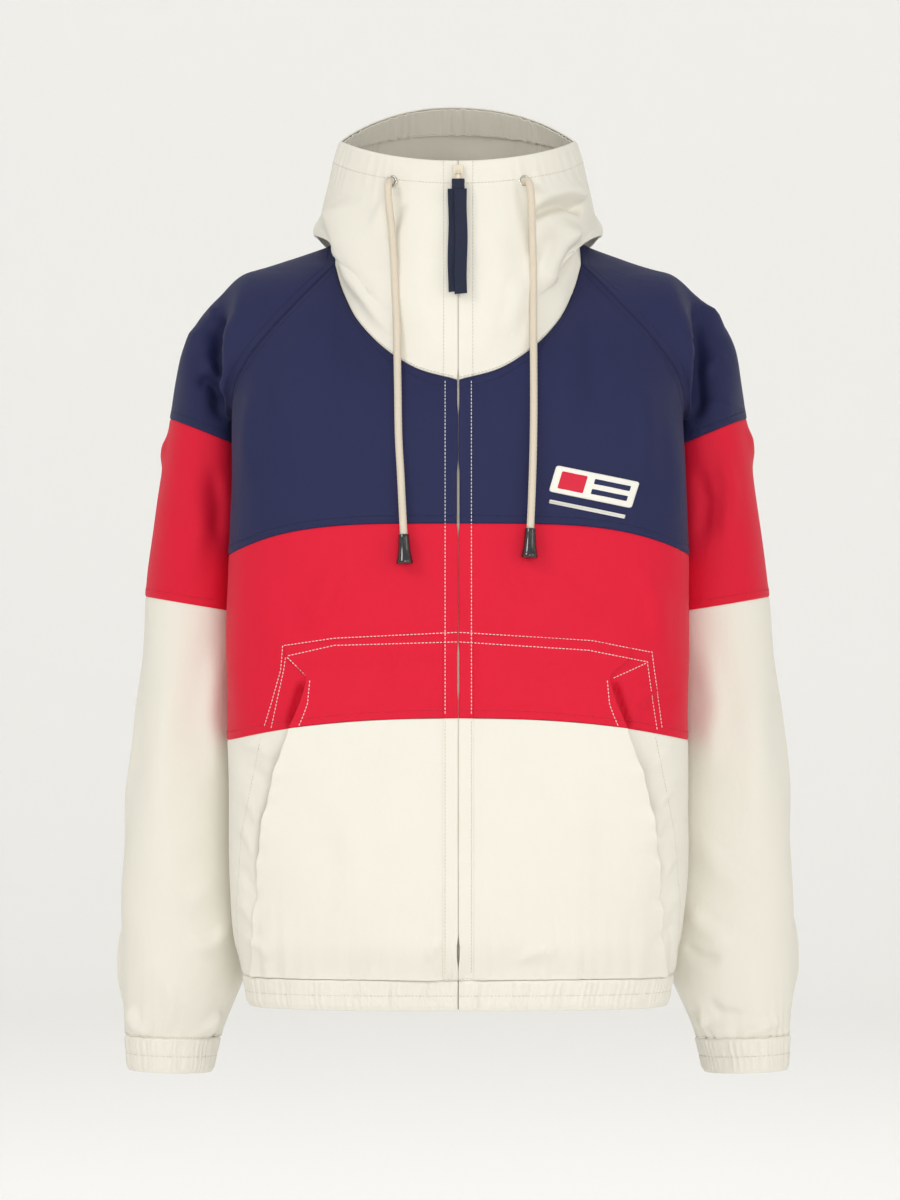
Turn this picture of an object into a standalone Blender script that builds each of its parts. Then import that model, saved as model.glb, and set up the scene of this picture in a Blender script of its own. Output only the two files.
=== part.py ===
"""Hooded raglan windbreaker jacket, hollow and in its worn shape.

Metres, +Z up, the front faces -Y and the wearer's left is +X. The origin is the middle of the neck at
shoulder level, where a wearer carries the jacket. Each cloth piece is a thin wall on one of three
surfaces: the torso (rings by height), the sleeve (rings from the raglan seam to the cuff) and the hood
(rings from the neckline to the rim). Neighbours on a seam share its points and its mitred normals.
"""

import math
from collections import namedtuple
from functools import partial

import bmesh
import bpy
import numpy as np
from mathutils import Matrix, Vector

# ---- Driving dimensions ----
CLOTH = 0.0015  # wall of a cloth panel
BAND = 0.0030  # wall of the elastic hem band and cuffs
BAND_PROUD = 0.0015  # how far those bands stand out of the panels' surface
SEAM_GAP = 0.0003  # between pieces that are sewn together
LAID_GAP = 0.0005  # under what lies on a panel
PATCH = 0.0010  # thickness of pocket patches, badge, casing and zip tape

HEM_TOP, HEM_BOTTOM = -0.620, -0.646
FRONT_POWER, BACK_POWER = 2.8, 2.3  # squareness of the torso's front and back halves
BACK_TUCK = 0.13  # how much the body draws in behind the arms
SIDE_SEAM = 105.0  # ring angle of the side seam and of the underarm point

# Torso rings. Depths are from side_y to the middle of the front and of the back.
TorsoRing = namedtuple("TorsoRing", "height half_width front back side_y")
TORSO = [
    TorsoRing(-0.646, 0.178, 0.088, 0.105, -0.025),
    TorsoRing(-0.620, 0.183, 0.092, 0.110, -0.025),
    TorsoRing(-0.587, 0.191, 0.100, 0.125, -0.028),
    TorsoRing(-0.528, 0.196, 0.103, 0.138, -0.030),
    TorsoRing(-0.423, 0.197, 0.103, 0.146, -0.032),
    TorsoRing(-0.300, 0.196, 0.101, 0.150, -0.032),
    TorsoRing(-0.200, 0.194, 0.098, 0.152, -0.030),
    TorsoRing(-0.150, 0.193, 0.095, 0.150, -0.028),
    TorsoRing(-0.110, 0.192, 0.089, 0.140, -0.022),
    TorsoRing(-0.070, 0.191, 0.075, 0.120, -0.012),
    TorsoRing(-0.035, 0.190, 0.058, 0.098, 0.000),
    TorsoRing(-0.010, 0.189, 0.044, 0.072, 0.008),
    TorsoRing(0.025, 0.187, 0.030, 0.046, 0.014),
]

# Seams between the colour blocks of the body: height at the middle, droop at the sides and its power.
BlockSeam = namedtuple("BlockSeam", "middle droop power")
NAVY_RED = BlockSeam(-0.237, 0.026, 4.0)
RED_CREAM = BlockSeam(-0.400, 0.020, 2.5)

# Front neckline: height of the seam at each ring angle of the body.
NeckPoint = namedtuple("NeckPoint", "ring_angle height")
NECKLINE = [
    NeckPoint(0.0, -0.116),
    NeckPoint(9.0, -0.108),
    NeckPoint(16.3, -0.094),
    NeckPoint(25.0, -0.064),
    NeckPoint(29.3, -0.034),
    NeckPoint(31.0, -0.015),
]
BACK_NECK_HEIGHT, BACK_NECK_DROP = 0.022, 0.010
SHOULDER_NECK = (0.103, 0.012, 0.008)  # where the neckline crosses the shoulder

# Raglan seam, as a ring round the sleeve: 0 over the shoulder, 90 in front, 180 under the arm.
RaglanStation = namedtuple("RaglanStation", "around ring_angle height")
RAGLAN = [
    RaglanStation(20, 31.0, -0.015),
    RaglanStation(52, 43.4, -0.056),
    RaglanStation(88, 57.0, -0.091),
    RaglanStation(124, 74.0, -0.120),
    RaglanStation(152, 90.0, -0.138),
    RaglanStation(180, SIDE_SEAM, -0.146),
    RaglanStation(208, 118.0, -0.138),
    RaglanStation(244, 128.0, -0.108),
    RaglanStation(280, 138.0, -0.068),
    RaglanStation(314, 147.0, -0.022),
    RaglanStation(340, 153.0, 0.012),
]
NECK_ARC = 20.0  # sleeve angle from the shoulder to each neck corner

# Rings of the sleeve cap, each through four points: over, in front, under and behind the arm.
CapRing = namedtuple("CapRing", "over front under behind")
CAP = [
    CapRing((0.165, 0.015, -0.017), (0.196, -0.048, -0.078), (0.190, 0.022, -0.150), (0.178, 0.088, -0.070)),
    CapRing((0.214, 0.018, -0.047), (0.199, -0.012, -0.098), (0.187, 0.030, -0.155), (0.198, 0.098, -0.090)),
    CapRing((0.240, 0.028, -0.090), (0.214, -0.012, -0.122), (0.181, 0.038, -0.162), (0.209, 0.108, -0.115)),
]
# Rings of the arm below the cap: outer and inner edge, middle of the depth and half of the depth.
ArmRing = namedtuple("ArmRing", "outer_x outer_z inner_x inner_z y half_depth")
ARM = [
    ArmRing(0.2505, -0.144, 0.178, -0.172, 0.050, 0.064),
    ArmRing(0.2610, -0.220, 0.178, -0.236, 0.052, 0.065),
    ArmRing(0.2705, -0.298, 0.179, -0.313, 0.052, 0.064),
    ArmRing(0.2790, -0.412, 0.179, -0.425, 0.050, 0.062),
    ArmRing(0.2860, -0.499, 0.178, -0.510, 0.046, 0.060),
    ArmRing(0.2920, -0.572, 0.176, -0.580, 0.042, 0.058),
    ArmRing(0.2920, -0.618, 0.184, -0.622, 0.040, 0.054),
    ArmRing(0.2870, -0.677, 0.207, -0.679, 0.038, 0.040),
    ArmRing(0.2850, -0.707, 0.214, -0.709, 0.037, 0.036),
]
SLEEVE_POWER = 2.2
NAVY_END, RED_END, CREAM_END, CUFF_END = 4.0, 6.0, 11.0, 12.0  # ring numbers of the sleeve's seams

# Rings of the hood above the neckline: middle of the front, widest point and middle of the back.
HoodRing = namedtuple("HoodRing", "front_y front_z side_x side_y side_z back_y back_z")
HOOD = [
    HoodRing(-0.1150, -0.092, 0.1022, -0.002, 0.033, 0.067, 0.038),
    HoodRing(-0.1140, -0.066, 0.1120, 0.020, 0.028, 0.086, 0.040),
    HoodRing(-0.1110, -0.040, 0.1190, 0.028, 0.020, 0.114, 0.006),
    HoodRing(-0.1060, -0.014, 0.1220, 0.034, 0.014, 0.141, -0.030),
    HoodRing(-0.1010, 0.010, 0.1180, 0.030, 0.036, 0.164, -0.006),
    HoodRing(-0.0960, 0.032, 0.1120, 0.020, 0.060, 0.160, 0.045),
    HoodRing(-0.0910, 0.052, 0.1070, 0.011, 0.079, 0.136, 0.094),
    HoodRing(-0.0870, 0.070, 0.1020, 0.004, 0.094, 0.104, 0.133),
]
FRONT_CORNER, BACK_CORNER = 70.0, 125.0  # hood angles of the neck corners
HOOD_PANEL_SEAM = 138.75  # hood angle of the seams beside the centre panel
CASING_ROWS = (6.85, 7.4, 7.98)  # ring numbers that the rim casing spans
CASING_START = 9.0  # hood angle where the casing stops beside the zip
RIM = float(len(HOOD))
HOOD_SLOPE = 1.5  # how level the hood's rings run at the sides

# Pocket patches: from the zip topstitching to the slanted mouth.
MouthPoint = namedtuple("MouthPoint", "height x gape")
POCKET_MOUTH = [
    MouthPoint(-0.620, 0.1740, 0.0006),
    MouthPoint(-0.590, 0.1725, 0.0006),
    MouthPoint(-0.553, 0.1690, 0.0020),
    MouthPoint(-0.493, 0.1600, 0.0085),
    MouthPoint(-0.447, 0.1500, 0.0095),
    MouthPoint(-0.409, 0.1390, 0.0065),
    MouthPoint(-0.378, 0.1290, 0.0015),
    MouthPoint(-0.366, 0.1270, 0.0000),
    MouthPoint(-0.348, 0.1440, 0.0000),
    MouthPoint(-0.330, 0.1460, 0.0000),
]
POCKET_TOP, POCKET_INNER = -0.331, 0.013

# Chest badge: middle, size, slope of its long sides and lean of its short ones.
BADGE_X, BADGE_Z, BADGE_WIDE, BADGE_HIGH = 0.1137, -0.206, 0.069, 0.022
BADGE_SLOPE, BADGE_LEAN = -0.206, 0.30

# Trims.
TAPE_ANGLE = 7.0  # half width of the zip tape, as a hood angle
EYELET_X, EYELET_Z = 0.056, 0.053
EYELET_OUTER, EYELET_INNER, EYELET_HIGH = 0.0055, 0.0036, 0.0014
CORD_RADIUS, CORD_SPACING = 0.0031, 0.0065
CORD_END_LENGTH, CORD_END_TOP, CORD_END_WAIST, CORD_END_FOOT = 0.024, 0.0044, 0.0052, 0.0070
CORD_SOCKET = 0.0025  # depth of the hole that the cord sits in, in its end piece
PIVOT_Z, PIVOT_OUT = 0.0580, 0.0060  # the pull tab's pin: its height, and how far in front of the collar
PIN_RADIUS, TAB_EYE, TAB_HOLE = 0.0008, 0.0022, 0.0011
SLIDER_WIDE, SLIDER_TOP, SLIDER_FOOT, SLIDER_THICK = 0.0090, 0.0670, 0.0530, 0.0020
SLIDER_STAND_OFF = 0.0001  # the collar bows under the straight slider
TAB_WIDE, TAB_THICK, TAB_LONG = 0.0046, 0.0010, 0.0130
RIBBON_WIDE, RIBBON_THICK = 0.0105, 0.0008
LOOP_TOP, LOOP_FOOT, LOOP_DEEP = 0.0055, 0.0150, 0.0034  # below the pin
TAIL_ENDS = (0.104, 0.106)  # length of each ribbon tail below the pin

# Routes of the drawcords, from the eyelet to the socket of the end piece, and the feet of the end pieces.
CORD_ROUTES = {
    "L": [
        (0.0566, -0.0780, 0.0532),
        (0.0571, -0.0794, 0.0534),
        (0.0588, -0.0846, 0.0528),
        (0.0602, -0.0889, 0.0494),
        (0.0611, -0.0908, 0.0442),
        (0.0618, -0.0912, 0.0340),
        (0.0625, -0.0907, 0.0130),
        (0.0630, -0.0914, -0.0080),
        (0.0633, -0.0930, -0.0230),
        (0.0634, -0.0943, -0.0450),
        (0.0634, -0.0962, -0.0680),
        (0.0634, -0.1036, -0.0870),
        (0.0634, -0.1107, -0.1050),
        (0.0633, -0.1213, -0.1330),
        (0.0630, -0.1271, -0.1600),
        (0.0625, -0.1298, -0.1820),
        (0.0615, -0.1326, -0.2120),
        (0.0602, -0.1354, -0.2425),
    ],
    "R": [
        (-0.0566, -0.0780, 0.0532),
        (-0.0570, -0.0794, 0.0534),
        (-0.0583, -0.0848, 0.0528),
        (-0.0591, -0.0891, 0.0494),
        (-0.0592, -0.0910, 0.0442),
        (-0.0585, -0.0912, 0.0340),
        (-0.0568, -0.0915, 0.0190),
        (-0.0550, -0.0936, 0.0000),
        (-0.0538, -0.0979, -0.0210),
        (-0.0528, -0.1015, -0.0450),
        (-0.0518, -0.1037, -0.0660),
        (-0.0512, -0.1096, -0.0980),
        (-0.0505, -0.1223, -0.1330),
        (-0.0498, -0.1286, -0.1670),
        (-0.0485, -0.1313, -0.1900),
        (-0.0470, -0.1338, -0.2190),
        (-0.0455, -0.1364, -0.2475),
    ],
}
CORD_FEET = {"L": (0.0594, -0.1381, -0.2660), "R": (-0.0446, -0.1390, -0.2710)}

# ---- Numbers of rows and columns ----
FRONT_NECK_COLUMNS = (0.08, 7.0, 18.0, 31.0, 44.0, 57.0, 70.0)  # hood angles; 7 is the zip tape's edge
SHOULDER_COLUMNS, BACK_NECK_COLUMNS = 4, 4
FRONT_RAGLAN_COLUMNS, BACK_RAGLAN_COLUMNS = 9, 7
POCKET_COLUMNS = 8
CREAM_ROWS, RED_ROWS, NAVY_ROWS = 5, 3, 5
HOOD_ROWS = (0.0, 0.6, 1.2, 2.0, 3.0, 4.0, 5.0, 6.0, 6.85, 7.4, RIM)

Finish = namedtuple("Finish", "colour roughness metallic")
NAVY = Finish((0.027, 0.031, 0.090), 0.62, 0.0)
RED = Finish((0.730, 0.015, 0.042), 0.62, 0.0)
CREAM = Finish((0.820, 0.790, 0.700), 0.66, 0.0)
CORD = Finish((0.850, 0.730, 0.610), 0.85, 0.0)
BLACK = Finish((0.012, 0.012, 0.013), 0.22, 0.0)
NICKEL = Finish((0.620, 0.600, 0.560), 0.28, 1.0)
ENAMEL = Finish((0.780, 0.700, 0.560), 0.35, 0.0)
RIBBON = Finish((0.010, 0.016, 0.045), 0.50, 0.0)


# ---- Curves and surfaces ----
def curve_through(knots, rows, at):
    """Shape-keeping cubic through rows[i] at knots[i], read at every value of `at`."""
    knots = np.asarray(knots, float)
    rows = np.asarray(rows, float)
    at = np.asarray(at, float)
    width = np.diff(knots).reshape((-1,) + (1,) * (rows.ndim - 1))
    rise = np.diff(rows, axis=0) / width
    product = rise[:-1] * rise[1:]
    total = np.where(product > 0, rise[:-1] + rise[1:], 1.0)
    inner = np.where(product > 0, 2 * product / total, 0.0)
    slopes = np.concatenate([rise[:1], inner, rise[-1:]])
    i = np.clip(np.searchsorted(knots, at, side="right") - 1, 0, len(knots) - 2)
    span = np.diff(knots)[i]
    t = ((at - knots[i]) / span)[..., None]
    span = span[..., None]
    if rows.ndim == 3:
        column = np.broadcast_to(np.arange(rows.shape[1]), at.shape)
        low, high = rows[i, column], rows[i + 1, column]
        low_slope, high_slope = slopes[i, column], slopes[i + 1, column]
    else:
        low, high, low_slope, high_slope = rows[i], rows[i + 1], slopes[i], slopes[i + 1]
    return (
        (1 + 2 * t) * (1 - t) ** 2 * low
        + t * (1 - t) ** 2 * span * low_slope
        + t * t * (3 - 2 * t) * high
        + t * t * (t - 1) * span * high_slope
    )


def squircle(turn, power):
    """Reach of a superellipse at a polar angle."""
    return (np.abs(np.sin(turn)) ** power + np.abs(np.cos(turn)) ** power) ** (-1 / power)


def unit(vectors):
    return vectors / np.maximum(np.linalg.norm(vectors, axis=-1, keepdims=True), 1e-12)


def torso(angle, height):
    """Point of the body at a ring angle: 0 mid front, 90 at the wearer's left side, 180 mid back."""
    angle, height = np.broadcast_arrays(np.asarray(angle, float), np.asarray(height, float))
    ring = curve_through([r.height for r in TORSO], [r[1:] for r in TORSO], height)
    half_width, front, back, side_y = np.moveaxis(ring, -1, 0)
    turn = np.radians(angle)
    across, along = np.sin(turn), np.cos(turn)
    tuck = 1 - BACK_TUCK * np.sin(2 * turn) ** 2
    reach = np.where(along > 0, squircle(turn, FRONT_POWER), squircle(turn, BACK_POWER) * tuck)
    depth = np.where(along > 0, front, back)
    return np.stack([half_width * across * reach, side_y - depth * along * reach, height], axis=-1)


def angle_at(x, half_width):
    """Ring angle on the front of the body at a distance from the middle."""
    share = np.clip(np.asarray(x, float) / half_width, 0.0, 0.999)
    return np.degrees(np.arctan2(share, (1 - share**FRONT_POWER) ** (1 / FRONT_POWER)))


def width_at(height):
    return curve_through([r.height for r in TORSO], [[r.half_width] for r in TORSO], height)[..., 0]


def seam_height(seam, angle):
    turn = np.radians(angle)
    share = np.abs(np.sin(turn)) * squircle(turn, FRONT_POWER)
    return seam.middle - seam.droop * share**seam.power


def raglan_at(around):
    """Ring angle and height of the raglan seam at a sleeve angle."""
    found = curve_through([r.around for r in RAGLAN], [r[1:] for r in RAGLAN], around)
    return found[..., 0], found[..., 1]


def neck_height(angle):
    """Height of the neckline at a ring angle of the body's front or back."""
    angle = np.abs(angle)
    front = curve_through([p.ring_angle for p in NECKLINE], [[p.height] for p in NECKLINE], angle)[..., 0]
    share = (180 - angle) / (180 - RAGLAN[-1].ring_angle)
    return np.where(angle < 90, front, BACK_NECK_HEIGHT - BACK_NECK_DROP * share**2)


def neck_arc(share):
    """Neckline across the top of the sleeve, from the front corner (0) to the back corner (1)."""
    first, last = RAGLAN[0], RAGLAN[-1]
    corners = [torso(first.ring_angle, first.height), SHOULDER_NECK, torso(last.ring_angle, last.height)]
    return curve_through([0, 0.5, 1], corners, share)


def sleeve_seam(around):
    """Seam of the sleeve with the body, and with the hood across the shoulder."""
    wrapped = (np.asarray(around, float) + 180) % 360 - 180
    angle, height = raglan_at(np.clip(np.asarray(around, float) % 360, NECK_ARC, 360 - NECK_ARC))
    arc = neck_arc(np.clip((NECK_ARC - wrapped) / (2 * NECK_ARC), 0, 1))
    return np.where((np.abs(wrapped) < NECK_ARC)[..., None], arc, torso(angle, height))


def four_point_ring(ring, around):
    over, front, under, behind = (np.array(p) for p in ring)
    turn = np.radians(around)[:, None]
    middle = (over + under) / 2
    sideways = np.where(np.sin(turn) > 0, front - middle, behind - middle)
    along = (over - under) / 2 * np.cos(turn)
    return middle + (along + sideways * np.abs(np.sin(turn))) * squircle(turn, SLEEVE_POWER)


def sleeve_rings():
    rings = list(CAP)
    for r in ARM:
        middle_x, middle_z = (r.outer_x + r.inner_x) / 2, (r.outer_z + r.inner_z) / 2
        over, under = (r.outer_x, r.y, r.outer_z), (r.inner_x, r.y, r.inner_z)
        front, behind = (middle_x, r.y - r.half_depth, middle_z), (middle_x, r.y + r.half_depth, middle_z)
        rings.append(CapRing(over, front, under, behind))
    return rings


def sleeve(around, ring_number):
    """Points of the left sleeve: `around` is one row of angles, `ring_number` rows of ring numbers."""
    around = np.asarray(around, float)
    rows = np.stack([sleeve_seam(around)] + [four_point_ring(r, around) for r in sleeve_rings()])
    return curve_through(np.arange(len(rows)), rows, ring_number)


def neck_seam(angle):
    """Neckline at a hood angle from 0 (front) to 180 (back)."""
    angle = np.asarray(angle, float)
    front = RAGLAN[0].ring_angle * np.clip(angle / FRONT_CORNER, 0, 1)
    share = np.clip((angle - BACK_CORNER) / (180 - BACK_CORNER), 0, 1)
    back = RAGLAN[-1].ring_angle + (180 - RAGLAN[-1].ring_angle) * share
    body = np.where(angle < 90, front, back)
    arc = neck_arc(np.clip((angle - FRONT_CORNER) / (BACK_CORNER - FRONT_CORNER), 0, 1))
    on_body = (angle <= FRONT_CORNER) | (angle >= BACK_CORNER)
    return np.where(on_body[..., None], torso(body, neck_height(body)), arc)


def half_and_half(front, side, back, turn, power):
    """Closed function with these values at 0, 90 and 180 degrees. A power over 1 is level at 90."""
    along = np.cos(turn)
    return side + np.where(along > 0, front - side, back - side) * np.abs(along) ** power


def hood(angle, ring_number):
    """Points of the hood: `angle` is one row of hood angles, `ring_number` rows of ring numbers."""
    wrapped = (np.asarray(angle, float) + 180) % 360 - 180
    side = np.where(wrapped < 0, -1.0, 1.0)
    folded = np.abs(wrapped)
    turn = np.radians(folded)
    rows = [neck_seam(folded)]
    for r in HOOD:
        y = half_and_half(r.front_y, r.side_y, r.back_y, turn, 1.0)
        z = half_and_half(r.front_z, r.side_z, r.back_z, turn, HOOD_SLOPE)
        rows.append(np.stack([r.side_x * np.sin(turn), y, z], axis=-1))
    points = curve_through(np.arange(len(rows)), np.stack(rows), ring_number)
    return points * np.stack([side, np.ones_like(side), np.ones_like(side)], axis=-1)


def normals_of(surface, across, along, step_across, step_along, low, high):
    """Outward normals of a surface whose second value runs from `low` to `high`."""
    along = np.asarray(along, float)
    by_across = surface(across + step_across, along) - surface(across - step_across, along)
    up, down = np.minimum(along + step_along, high), np.maximum(along - step_along, low)
    return unit(np.cross(by_across, surface(across, up) - surface(across, down)))


def torso_normal(angle, height):
    return normals_of(torso, np.asarray(angle, float), height, 0.5, 0.002, HEM_BOTTOM, TORSO[-1].height)


def sleeve_normal(around, ring_number):
    return normals_of(sleeve, np.asarray(around, float), ring_number, 1.0, 0.05, 0.0, CUFF_END)


def hood_normal(angle, ring_number):
    return normals_of(hood, np.asarray(angle, float), ring_number, 1.0, 0.05, 0.0, RIM)


def raglan_mitre(around):
    """Normals shared by the pieces that meet on the sleeve's seam."""
    around = np.asarray(around, float)
    on_body = (around >= NECK_ARC) & (around <= 360 - NECK_ARC)
    on_neck = (around <= NECK_ARC) | (around >= 360 - NECK_ARC)
    angle, height = raglan_at(np.clip(around, NECK_ARC, 360 - NECK_ARC))
    wrapped = (around + 180) % 360 - 180
    share = np.clip((NECK_ARC - wrapped) / (2 * NECK_ARC), 0, 1)
    hood_angle = FRONT_CORNER + share * (BACK_CORNER - FRONT_CORNER)
    total = sleeve_normal(around, np.zeros((1, len(around))))[0]
    total = total + torso_normal(angle, height) * on_body[:, None]
    total = total + hood_normal(hood_angle, np.zeros((1, len(around))))[0] * on_neck[:, None]
    return unit(total)


def neck_mitre(angle):
    """Normals shared by the pieces that meet on the neckline, at hood angles from 0 to 180."""
    angle = np.asarray(angle, float)
    share = np.clip((angle - FRONT_CORNER) / (BACK_CORNER - FRONT_CORNER), 0, 1)
    around = NECK_ARC - 2 * NECK_ARC * share
    on_body = (angle <= FRONT_CORNER) | (angle >= BACK_CORNER)
    on_sleeve = (angle >= FRONT_CORNER) & (angle <= BACK_CORNER)
    body = np.where(
        angle < 90,
        RAGLAN[0].ring_angle * np.clip(angle / FRONT_CORNER, 0, 1),
        RAGLAN[-1].ring_angle
        + (180 - RAGLAN[-1].ring_angle) * np.clip((angle - BACK_CORNER) / (180 - BACK_CORNER), 0, 1),
    )
    total = hood_normal(angle, np.zeros((1, len(angle))))[0]
    total = total + torso_normal(body, neck_height(body)) * on_body[:, None]
    total = total + sleeve_normal(around, np.zeros((1, len(angle))))[0] * on_sleeve[:, None]
    return unit(total)


# ---- Meshes ----
def material(name, finish):
    made = bpy.data.materials.new(name)
    made.use_nodes = True
    shader = made.node_tree.nodes["Principled BSDF"]
    shader.inputs["Base Color"].default_value = (*finish.colour, 1)
    shader.inputs["Roughness"].default_value = finish.roughness
    shader.inputs["Metallic"].default_value = finish.metallic
    return made


def add_object(name, mesh, finish):
    thing = bpy.data.objects.new(name, mesh)
    bpy.context.scene.collection.objects.link(thing)
    thing.data.materials.append(material(name, finish))
    return thing


def mesh_object(name, points, faces, finish):
    """Object from points and faces, turned so that its volume is positive."""
    points = np.asarray(points, float)
    volume = 0.0
    for face in faces:
        first, *rest = points[list(face)]
        volume += sum(np.dot(first, np.cross(a, b)) for a, b in zip(rest, rest[1:]))
    if volume < 0:
        faces = [(f[0], *reversed(f[1:])) for f in faces]
    mesh = bpy.data.meshes.new(name)
    mesh.from_pydata(points.tolist(), [], faces)
    mesh.shade_smooth()
    mesh.set_sharp_from_angle(angle=math.radians(40))
    return add_object(name, mesh, finish)


def pull_back(points, normals, closed):
    """Moves the first row half a seam gap into the panel, square to its edge."""
    row = points[0]
    if closed:
        along = np.roll(row, -1, axis=0) - np.roll(row, 1, axis=0)
    else:
        along = np.gradient(row, axis=0)
    inward = unit(np.cross(normals[0], along))
    inward = inward * np.where(((points[1] - row) * inward).sum(-1) < 0, -1, 1)[:, None]
    points[0] = row + inward * SEAM_GAP / 2


def wall(name, points, normals, finish, thickness=CLOTH, proud=0.0, seams="", closed=False):
    """Closed thin wall on a grid of outer points. `seams` lists the edges to pull back: b, t, l, r."""
    points = np.array(points, float)
    if "b" in seams:
        pull_back(points, normals, closed)
    if "t" in seams:
        pull_back(points[::-1], normals[::-1], closed)
    if "l" in seams:
        pull_back(points.transpose(1, 0, 2), normals.transpose(1, 0, 2), False)
    if "r" in seams:
        pull_back(points.transpose(1, 0, 2)[::-1], normals.transpose(1, 0, 2)[::-1], False)
    outer = points + normals * proud
    inner = outer - normals * thickness
    rows, columns = points.shape[:2]
    count = rows * columns

    def at(row, column, layer):
        return layer * count + row * columns + column % columns

    faces = []
    last = columns if closed else columns - 1
    for row in range(rows - 1):
        for column in range(last):
            corners = (row, column), (row, column + 1), (row + 1, column + 1), (row + 1, column)
            faces.append([at(*corner, 0) for corner in corners])
            faces.append([at(*corners[k], 1) for k in (0, 3, 2, 1)])
    for column in range(last):
        faces.append([at(0, column + 1, 0), at(0, column, 0), at(0, column, 1), at(0, column + 1, 1)])
        top, after = rows - 1, column + 1
        faces.append([at(top, column, 0), at(top, after, 0), at(top, after, 1), at(top, column, 1)])
    if not closed:
        for row in range(rows - 1):
            faces.append([at(row, 0, 0), at(row + 1, 0, 0), at(row + 1, 0, 1), at(row, 0, 1)])
            faces.append([at(row + 1, last, 0), at(row, last, 0), at(row, last, 1), at(row + 1, last, 1)])
    points = np.concatenate([outer.reshape(-1, 3), inner.reshape(-1, 3)])
    return mesh_object(name, points, faces, finish)


def mirrored(points, side):
    return points * np.array([side, 1.0, 1.0])


# ---- Body ----
def hood_columns():
    """Hood angles of the columns on each stretch of the neckline."""
    front = np.array(FRONT_NECK_COLUMNS)
    shoulder = np.linspace(FRONT_CORNER, BACK_CORNER, SHOULDER_COLUMNS + 1)
    back = np.linspace(BACK_CORNER, 180, BACK_NECK_COLUMNS + 1)
    return front, shoulder, back


def raglan_columns():
    front = np.linspace(NECK_ARC, 180, FRONT_RAGLAN_COLUMNS + 1)
    back = np.linspace(180, 360 - NECK_ARC, BACK_RAGLAN_COLUMNS + 1)
    return front, back


def front_columns():
    """Ring angles, top heights and top normals of the front, from the zip to the side seam."""
    neck = hood_columns()[0]
    neck_angles = RAGLAN[0].ring_angle * neck / FRONT_CORNER
    around = raglan_columns()[0]
    angles, heights = raglan_at(around)
    top = np.concatenate([neck_height(neck_angles[:-1]), heights])
    normals = np.concatenate([neck_mitre(neck[:-1]), raglan_mitre(around)])
    return np.concatenate([neck_angles[:-1], angles]), top, normals


def back_columns():
    """The same for the back, from the left side seam over the middle to the right side seam."""
    around = raglan_columns()[1]
    neck = hood_columns()[2]
    angles, heights = raglan_at(around)
    last = RAGLAN[-1].ring_angle
    neck_angles = last + (180 - last) * (neck - BACK_CORNER) / (180 - BACK_CORNER)
    half = np.concatenate([angles, neck_angles[1:]])
    top = np.concatenate([heights, neck_height(neck_angles[1:])])
    normals = np.concatenate([raglan_mitre(around), neck_mitre(neck[1:])])
    other = (normals * np.array([-1.0, 1.0, 1.0]))[-2::-1]
    full = np.concatenate([half, 360 - half[-2::-1]])
    return full, np.concatenate([top, top[-2::-1]]), np.concatenate([normals, other])


def body_block(name, angles, low, high, rows, finish, top_normals=None, side=1, seams="bt"):
    """One colour block of the body between two heights for each column."""
    share = np.linspace(0, 1, rows + 1)[:, None]
    heights = low + (high - low) * share
    grid = np.broadcast_to(angles, heights.shape)
    points, normals = torso(grid, heights), torso_normal(grid, heights)
    if top_normals is not None:
        normals[-1] = top_normals
    return wall(name, mirrored(points, side), mirrored(normals, side), finish, seams=seams)


def build_body():
    angles, top, top_normals = front_columns()
    hem = np.full(angles.shape, HEM_TOP)
    red, navy = seam_height(RED_CREAM, angles), seam_height(NAVY_RED, angles)
    for tag, side in (("L", 1), ("R", -1)):
        body_block(f"front_cream_{tag}", angles, hem, red, CREAM_ROWS, CREAM, side=side, seams="btr")
        body_block(f"front_red_{tag}", angles, red, navy, RED_ROWS, RED, side=side, seams="btr")
        body_block(f"front_navy_{tag}", angles, navy, top, NAVY_ROWS, NAVY, top_normals, side, "btr")
    angles, top, top_normals = back_columns()
    hem = np.full(angles.shape, HEM_TOP)
    red, navy = seam_height(RED_CREAM, angles), seam_height(NAVY_RED, angles)
    body_block("back_cream", angles, hem, red, CREAM_ROWS, CREAM, seams="btlr")
    body_block("back_red", angles, red, navy, RED_ROWS, RED, seams="btlr")
    body_block("back_navy", angles, navy, top, NAVY_ROWS, NAVY, top_normals, seams="btlr")


def build_hem_band():
    front, back = front_columns()[0], back_columns()[0]
    angles = np.concatenate([front, back[1:-1], 360 - front[::-1]])
    heights = np.array([HEM_BOTTOM, HEM_TOP])[:, None] * np.ones(len(angles))
    grid = np.broadcast_to(angles, heights.shape)
    points, normals = torso(grid, heights), torso_normal(grid, heights)
    wall("hem_band", points, normals, CREAM, BAND, BAND_PROUD, seams="t")


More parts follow.
